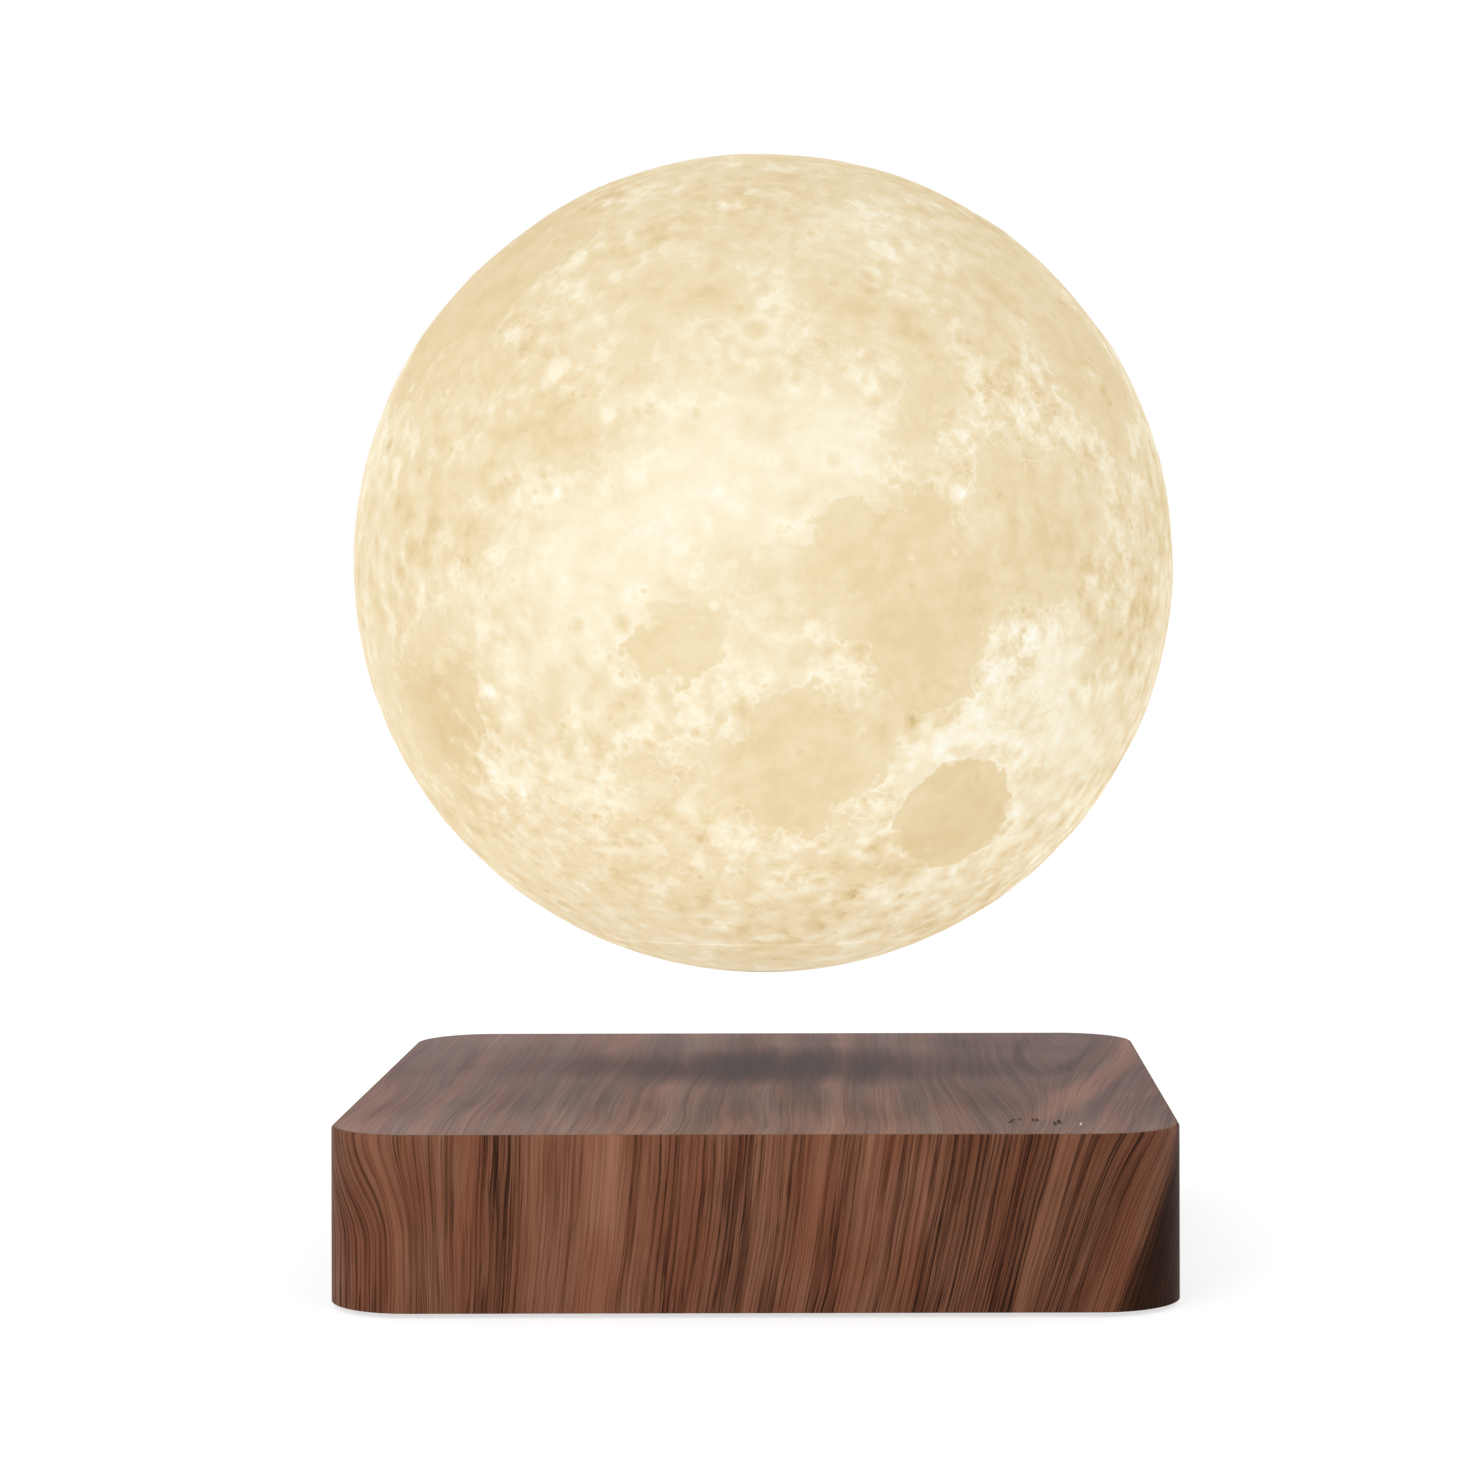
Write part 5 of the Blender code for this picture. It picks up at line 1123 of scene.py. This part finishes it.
# printed globe
globeShape = {
    "cuts": (59, 1),  # each face of the starting cube, in two passes
    "innerCuts": 23,
    "wall": 0.0018,
    "gap": 0.0003,  # between the globe and its cap, and in the cap round what it holds
    "seaDepth": 0.00028,
    "craterDepth": 0.00034,
    "rough": 0.00016,
    "most": 0.0006,  # the relief stands out by no more than this
    "edge": 0.006,  # and fades out over this height at the mouth
    "smooth": 50,
}


def globeBall():
    # radius and middle of the globe
    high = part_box("moon_shell")[1]
    return high.x, (0, 0, high.z - high.x)


def levelAt(reach, radius, centre):
    # height of the circle with this reach on the ball's lower half
    return centre[2] - math.sqrt(radius ** 2 - reach ** 2)


def roundShell(name, cuts, radius, centre, mouthZ):
    # a cube cut fine and pushed out to a sphere, open below
    clearSelection()
    bpy.ops.mesh.primitive_cube_add(size=radius, location=(0, 0, 0), rotation=(0, 0, math.pi / 4))
    shell = named(name)
    settle(shell)
    edit(True)
    for count in cuts:
        bpy.ops.mesh.subdivide(number_cuts=count)
    endEdit()
    for vertex in shell.data.vertices:
        vertex.co = vertex.co.normalized() * radius
    edit(True)
    bpy.ops.mesh.bisect(plane_co=(0, 0, mouthZ - centre[2]), plane_no=(0, 0, 1), clear_inner=True)
    endEdit()
    shell.data.transform(Matrix.Translation(centre))
    return shell


def writeTones(piece, centre, relief):
    # tones for the shader at every point, and the outer skin moved by the relief
    mesh = piece.data
    points = np.empty(len(mesh.vertices) * 3)
    mesh.vertices.foreach_get("co", points)
    points = points.reshape(-1, 3)
    arms = points - np.array(centre)
    reach = np.linalg.norm(arms, axis=1)
    aims = arms / reach[:, None]
    shore, depth, glow, light, bowl = globeTones(aims)
    # an attribute holds three numbers, so the second one's last repeats
    for name, columns in (("tones", (shore, depth, glow)), ("relief", (light, bowl, bowl))):
        layer = mesh.attributes.new(name, "FLOAT_VECTOR", "POINT")
        layer.data.foreach_set("vector", np.stack(columns, 1).ravel())
    if relief:
        shape = globeShape
        sea = np.clip(shore / 3 + 0.5, 0, 1) * depth
        rough = np.array([noise.fractal(Vector(aim) * 9, 0.9, 2.1, 6) for aim in aims])
        move = -shape["seaDepth"] * sea + shape["craterDepth"] * bowl
        move += shape["rough"] * rough * (1 - 0.75 * np.minimum(sea, 1))
        skin = reach > reach.max() - shape["wall"] / 3
        edge = np.clip((points[:, 2] - points[:, 2].min()) / shape["edge"], 0, 1)
        move = np.where(skin, np.minimum(move, shape["most"]) * edge, 0)
        mesh.vertices.foreach_set("co", (points + aims * move[:, None]).ravel())
        mesh.update()


def buildGlobe():
    shape = globeShape
    radius, centre = globeBall()
    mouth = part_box("shell_cap")[1].x + shape["gap"]
    inner = radius - shape["wall"]
    globe = roundShell("moon_globe", shape["cuts"], radius, centre, levelAt(mouth, radius, centre))
    lining = roundShell("globe_lining", (shape["innerCuts"],), inner, centre, levelAt(mouth, inner, centre))
    edit(True)
    bpy.ops.mesh.flip_normals()  # the lining, made last, looks inwards
    endEdit()
    only(globe)
    lining.select_set(True)
    bpy.ops.object.join()
    edit()
    pick(globe, "EDGE", lambda e: e.is_boundary)
    bpy.ops.mesh.bridge_edge_loops()
    endEdit()
    writeTones(globe, centre, True)
    globe.data.materials.append(makeGlobePrint("globePrint"))
    globe.data.materials.append(makeGlobeInside())
    for face in globe.data.polygons:
        outside = (face.center - Vector(centre)).length > radius - shape["wall"] / 2
        face.material_index = 0 if outside else 1
    smooth(globe, shape["smooth"])
    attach(globe, "moon")
    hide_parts("moon_shell")


buildGlobe()
print("globe built")


# cap that closes the globe's mouth
capShape = {
    "steps": 128,
    "rings": 150,
    "cupWall": 0.0016,
    "screwHole": 0.0013,
    "screwSink": 0.0021,
    "headHeight": 0.0013,
    "drill": 0.02,
    "smooth": 30,
}


def buildCap():
    shape = capShape
    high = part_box("shell_cap")[1]
    radius, centre = globeBall()
    rim = high.x
    rimZ = levelAt(rim, radius, centre)
    clearSelection()
    fineness = {"segments": shape["steps"], "ring_count": shape["rings"]}
    bpy.ops.mesh.primitive_uv_sphere_add(radius=radius, location=centre, **fineness)
    cap = named("globe_cap")
    settle(cap)
    edit(True)
    bpy.ops.mesh.bisect(plane_co=(0, 0, rimZ), plane_no=(0, 0, 1), clear_outer=True)
    # the inner side, step by step from the rim: flange, cup, and seats of the board, the coil and the magnet
    gap = globeShape["gap"]
    boardLow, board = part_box("receiver_board")
    coilLow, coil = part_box("receiver_coil")
    magnetLow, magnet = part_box("float_magnet")
    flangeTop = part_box("neck_ring")[0].z - gap
    cupOut = board.x + gap + shape["cupWall"]
    profile = [(rim, flangeTop), (cupOut, flangeTop), (cupOut, high.z), (board.x + gap, high.z)]
    profile += [(board.x + gap, boardLow.z - gap), (coil.x + gap, boardLow.z - gap)]
    profile += [(coil.x + gap, coilLow.z - gap), (magnet.x + gap, coilLow.z - gap)]
    profile += [(magnet.x + gap, magnetLow.z - gap)]
    pick(cap, "EDGE", lambda e: e.is_boundary)
    reach, level = rim, rimZ
    for wide, tall in profile:
        extrudeUp(tall - level)
        if abs(wide - reach) > 1e-7:
            bpy.ops.transform.resize(value=(wide / reach, wide / reach, 1), center_override=(0, 0, tall))
        reach, level = wide, tall
    bpy.ops.mesh.edge_face_add()
    bpy.ops.mesh.select_all(action="SELECT")
    bpy.ops.mesh.remove_doubles(threshold=1e-6)
    bpy.ops.mesh.normals_make_consistent(inside=False)
    endEdit()
    drill = shape["drill"]
    for number in (1, 2, 3):
        screw = f"cap_screw_{number}"
        x, y, _ = centreOf(screw)
        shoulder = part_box(screw)[0].z + shape["headHeight"]
        carve(cap, rod(shape["screwHole"], drill, (x, y, shoulder), 20))
        carve(cap, rod(shape["screwSink"], drill, (x, y, shoulder - drill / 2), 32))
    writeTones(cap, centre, False)
    cap.data.materials.clear()
    cap.data.materials.append(makeGlobePrint("capPrint", rim))
    smooth(cap, shape["smooth"])
    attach(cap, "moon")
    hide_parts("shell_cap")


buildCap()
print("cap built")


# touch marks printed on the top, at the front right
markShape = {
    "thick": 0.00003,
    "round": 0.45,  # how much of a stroke's width its ends are rounded by
    # (x, y, width, length, turn in degrees)
    "strokes": [
        (0.0514, -0.0668, 0.0006, 0.006, -13), (0.0531, -0.0644, 0.0005, 0.003, -8),
        (0.0558, -0.0654, 0.0006, 0.004, 0), (0.0566, -0.0654, 0.0006, 0.004, 0),
        (0.0599, -0.0706, 0.0006, 0.0046, 0), (0.0609, -0.0682, 0.0008, 0.0056, 0),
    ],
}


def makeMarkInk():
    finish = Finish("markInk")
    wear = finish.grain(finish.place(), 2600, 3, 0.65)
    colour = finish.between(wear, 0.3, 0.7, ("#2c1f1b", "#46342e"))
    return finish.surface(Base_Color=colour, Roughness=0.7, Specular_IOR_Level=0.08)


def buildTouchMarks():
    thick = markShape["thick"]
    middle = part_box("base_cover")[1].z + thick / 2
    strokes = []
    for x, y, width, length, turn in markShape["strokes"]:
        clearSelection()
        placed = {"location": (x, y, middle), "rotation": (0, 0, math.radians(turn))}
        bpy.ops.mesh.primitive_cube_add(size=1, scale=(width, length, thick), **placed)
        stroke = named("stroke")
        settle(stroke)
        edit()
        pickUprights(stroke)
        bpy.ops.mesh.bevel(offset=width * markShape["round"], segments=5, affect="EDGES")
        endEdit()
        strokes.append(stroke)
    only(strokes[0])
    for stroke in strokes:
        stroke.select_set(True)
    bpy.ops.object.join()
    marks = named("touch_marks")
    marks.data.materials.append(makeMarkInk())
    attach(marks, "base")


buildTouchMarks()
print("touch marks built")


# floor, world and lamps
studio = {
    "ambient": 0.74,
    "floorSize": 9,
    "floorGlow": 0.68,
    # name, place, size, power
    "lamps": [
        ("keyLamp", (-1.2, -1.8, 0.9), 1.4, 15),
        ("fillLamp", (1.5, -1.6, 0.4), 1.4, 4),
    ],
    "aim": (0, 0, 0.1),
    "white": (1, 1, 1, 1),
}


def lookedAt(finish):
    # 1 for what the camera sees, straight or in a mirror or through glass
    kinds = ("Is Camera Ray", "Is Glossy Ray", "Is Transmission Ray")
    camera, glossy, through = [finish.node("LightPath", output=kind) for kind in kinds]
    return finish.node("Clamp", values={0: camera + glossy + through})


def makeFloor():
    clearSelection()
    bpy.ops.mesh.primitive_plane_add(size=studio["floorSize"], location=(0, 0, 0))
    floor = named("floor")
    finish = Finish("floorPaper")
    finish.tree.nodes.remove(finish.shader)
    fleck = finish.grain(finish.place(), 40)
    paper = finish.node("BsdfDiffuse", values={0: finish.between(fleck, 0, 1, ("#f2f2f3", "#f6f6f7"))})
    half = finish.node("BsdfDiffuse", values={0: (0.5, 0.5, 0.5, 1)})
    glow = finish.node("Emission", values={0: studio["white"], 1: studio["floorGlow"]})
    seen = finish.node("AddShader", values={0: half, 1: glow})
    both = finish.node("MixShader", values={0: lookedAt(finish), 1: paper, 2: seen})
    finish.feed(finish.tree.nodes["Material Output"].inputs[0], both)
    floor.data.materials.append(finish.owner)


def setWorld():
    world = bpy.data.worlds.new("studio")
    bpy.context.scene.world = world
    finish = Finish("studio", world)
    background = finish.tree.nodes["Background"]
    finish.feed(background.inputs[0], studio["white"])
    finish.feed(background.inputs[1], finish.step(lookedAt(finish), 0, 1, studio["ambient"], 1, "LINEAR"))


def setLamps():
    for name, place, size, power in studio["lamps"]:
        lamp = bpy.data.lights.new(name, "AREA")
        lamp.size = size
        lamp.energy = power
        holder = bpy.data.objects.new(name, lamp)
        holder.location = place
        holder.rotation_euler = (Vector(studio["aim"]) - Vector(place)).to_track_quat("-Z", "Y").to_euler()
        bpy.context.scene.collection.objects.link(holder)


makeFloor()
setWorld()
setLamps()
bpy.context.scene.view_settings.view_transform = "Standard"
print("studio set")
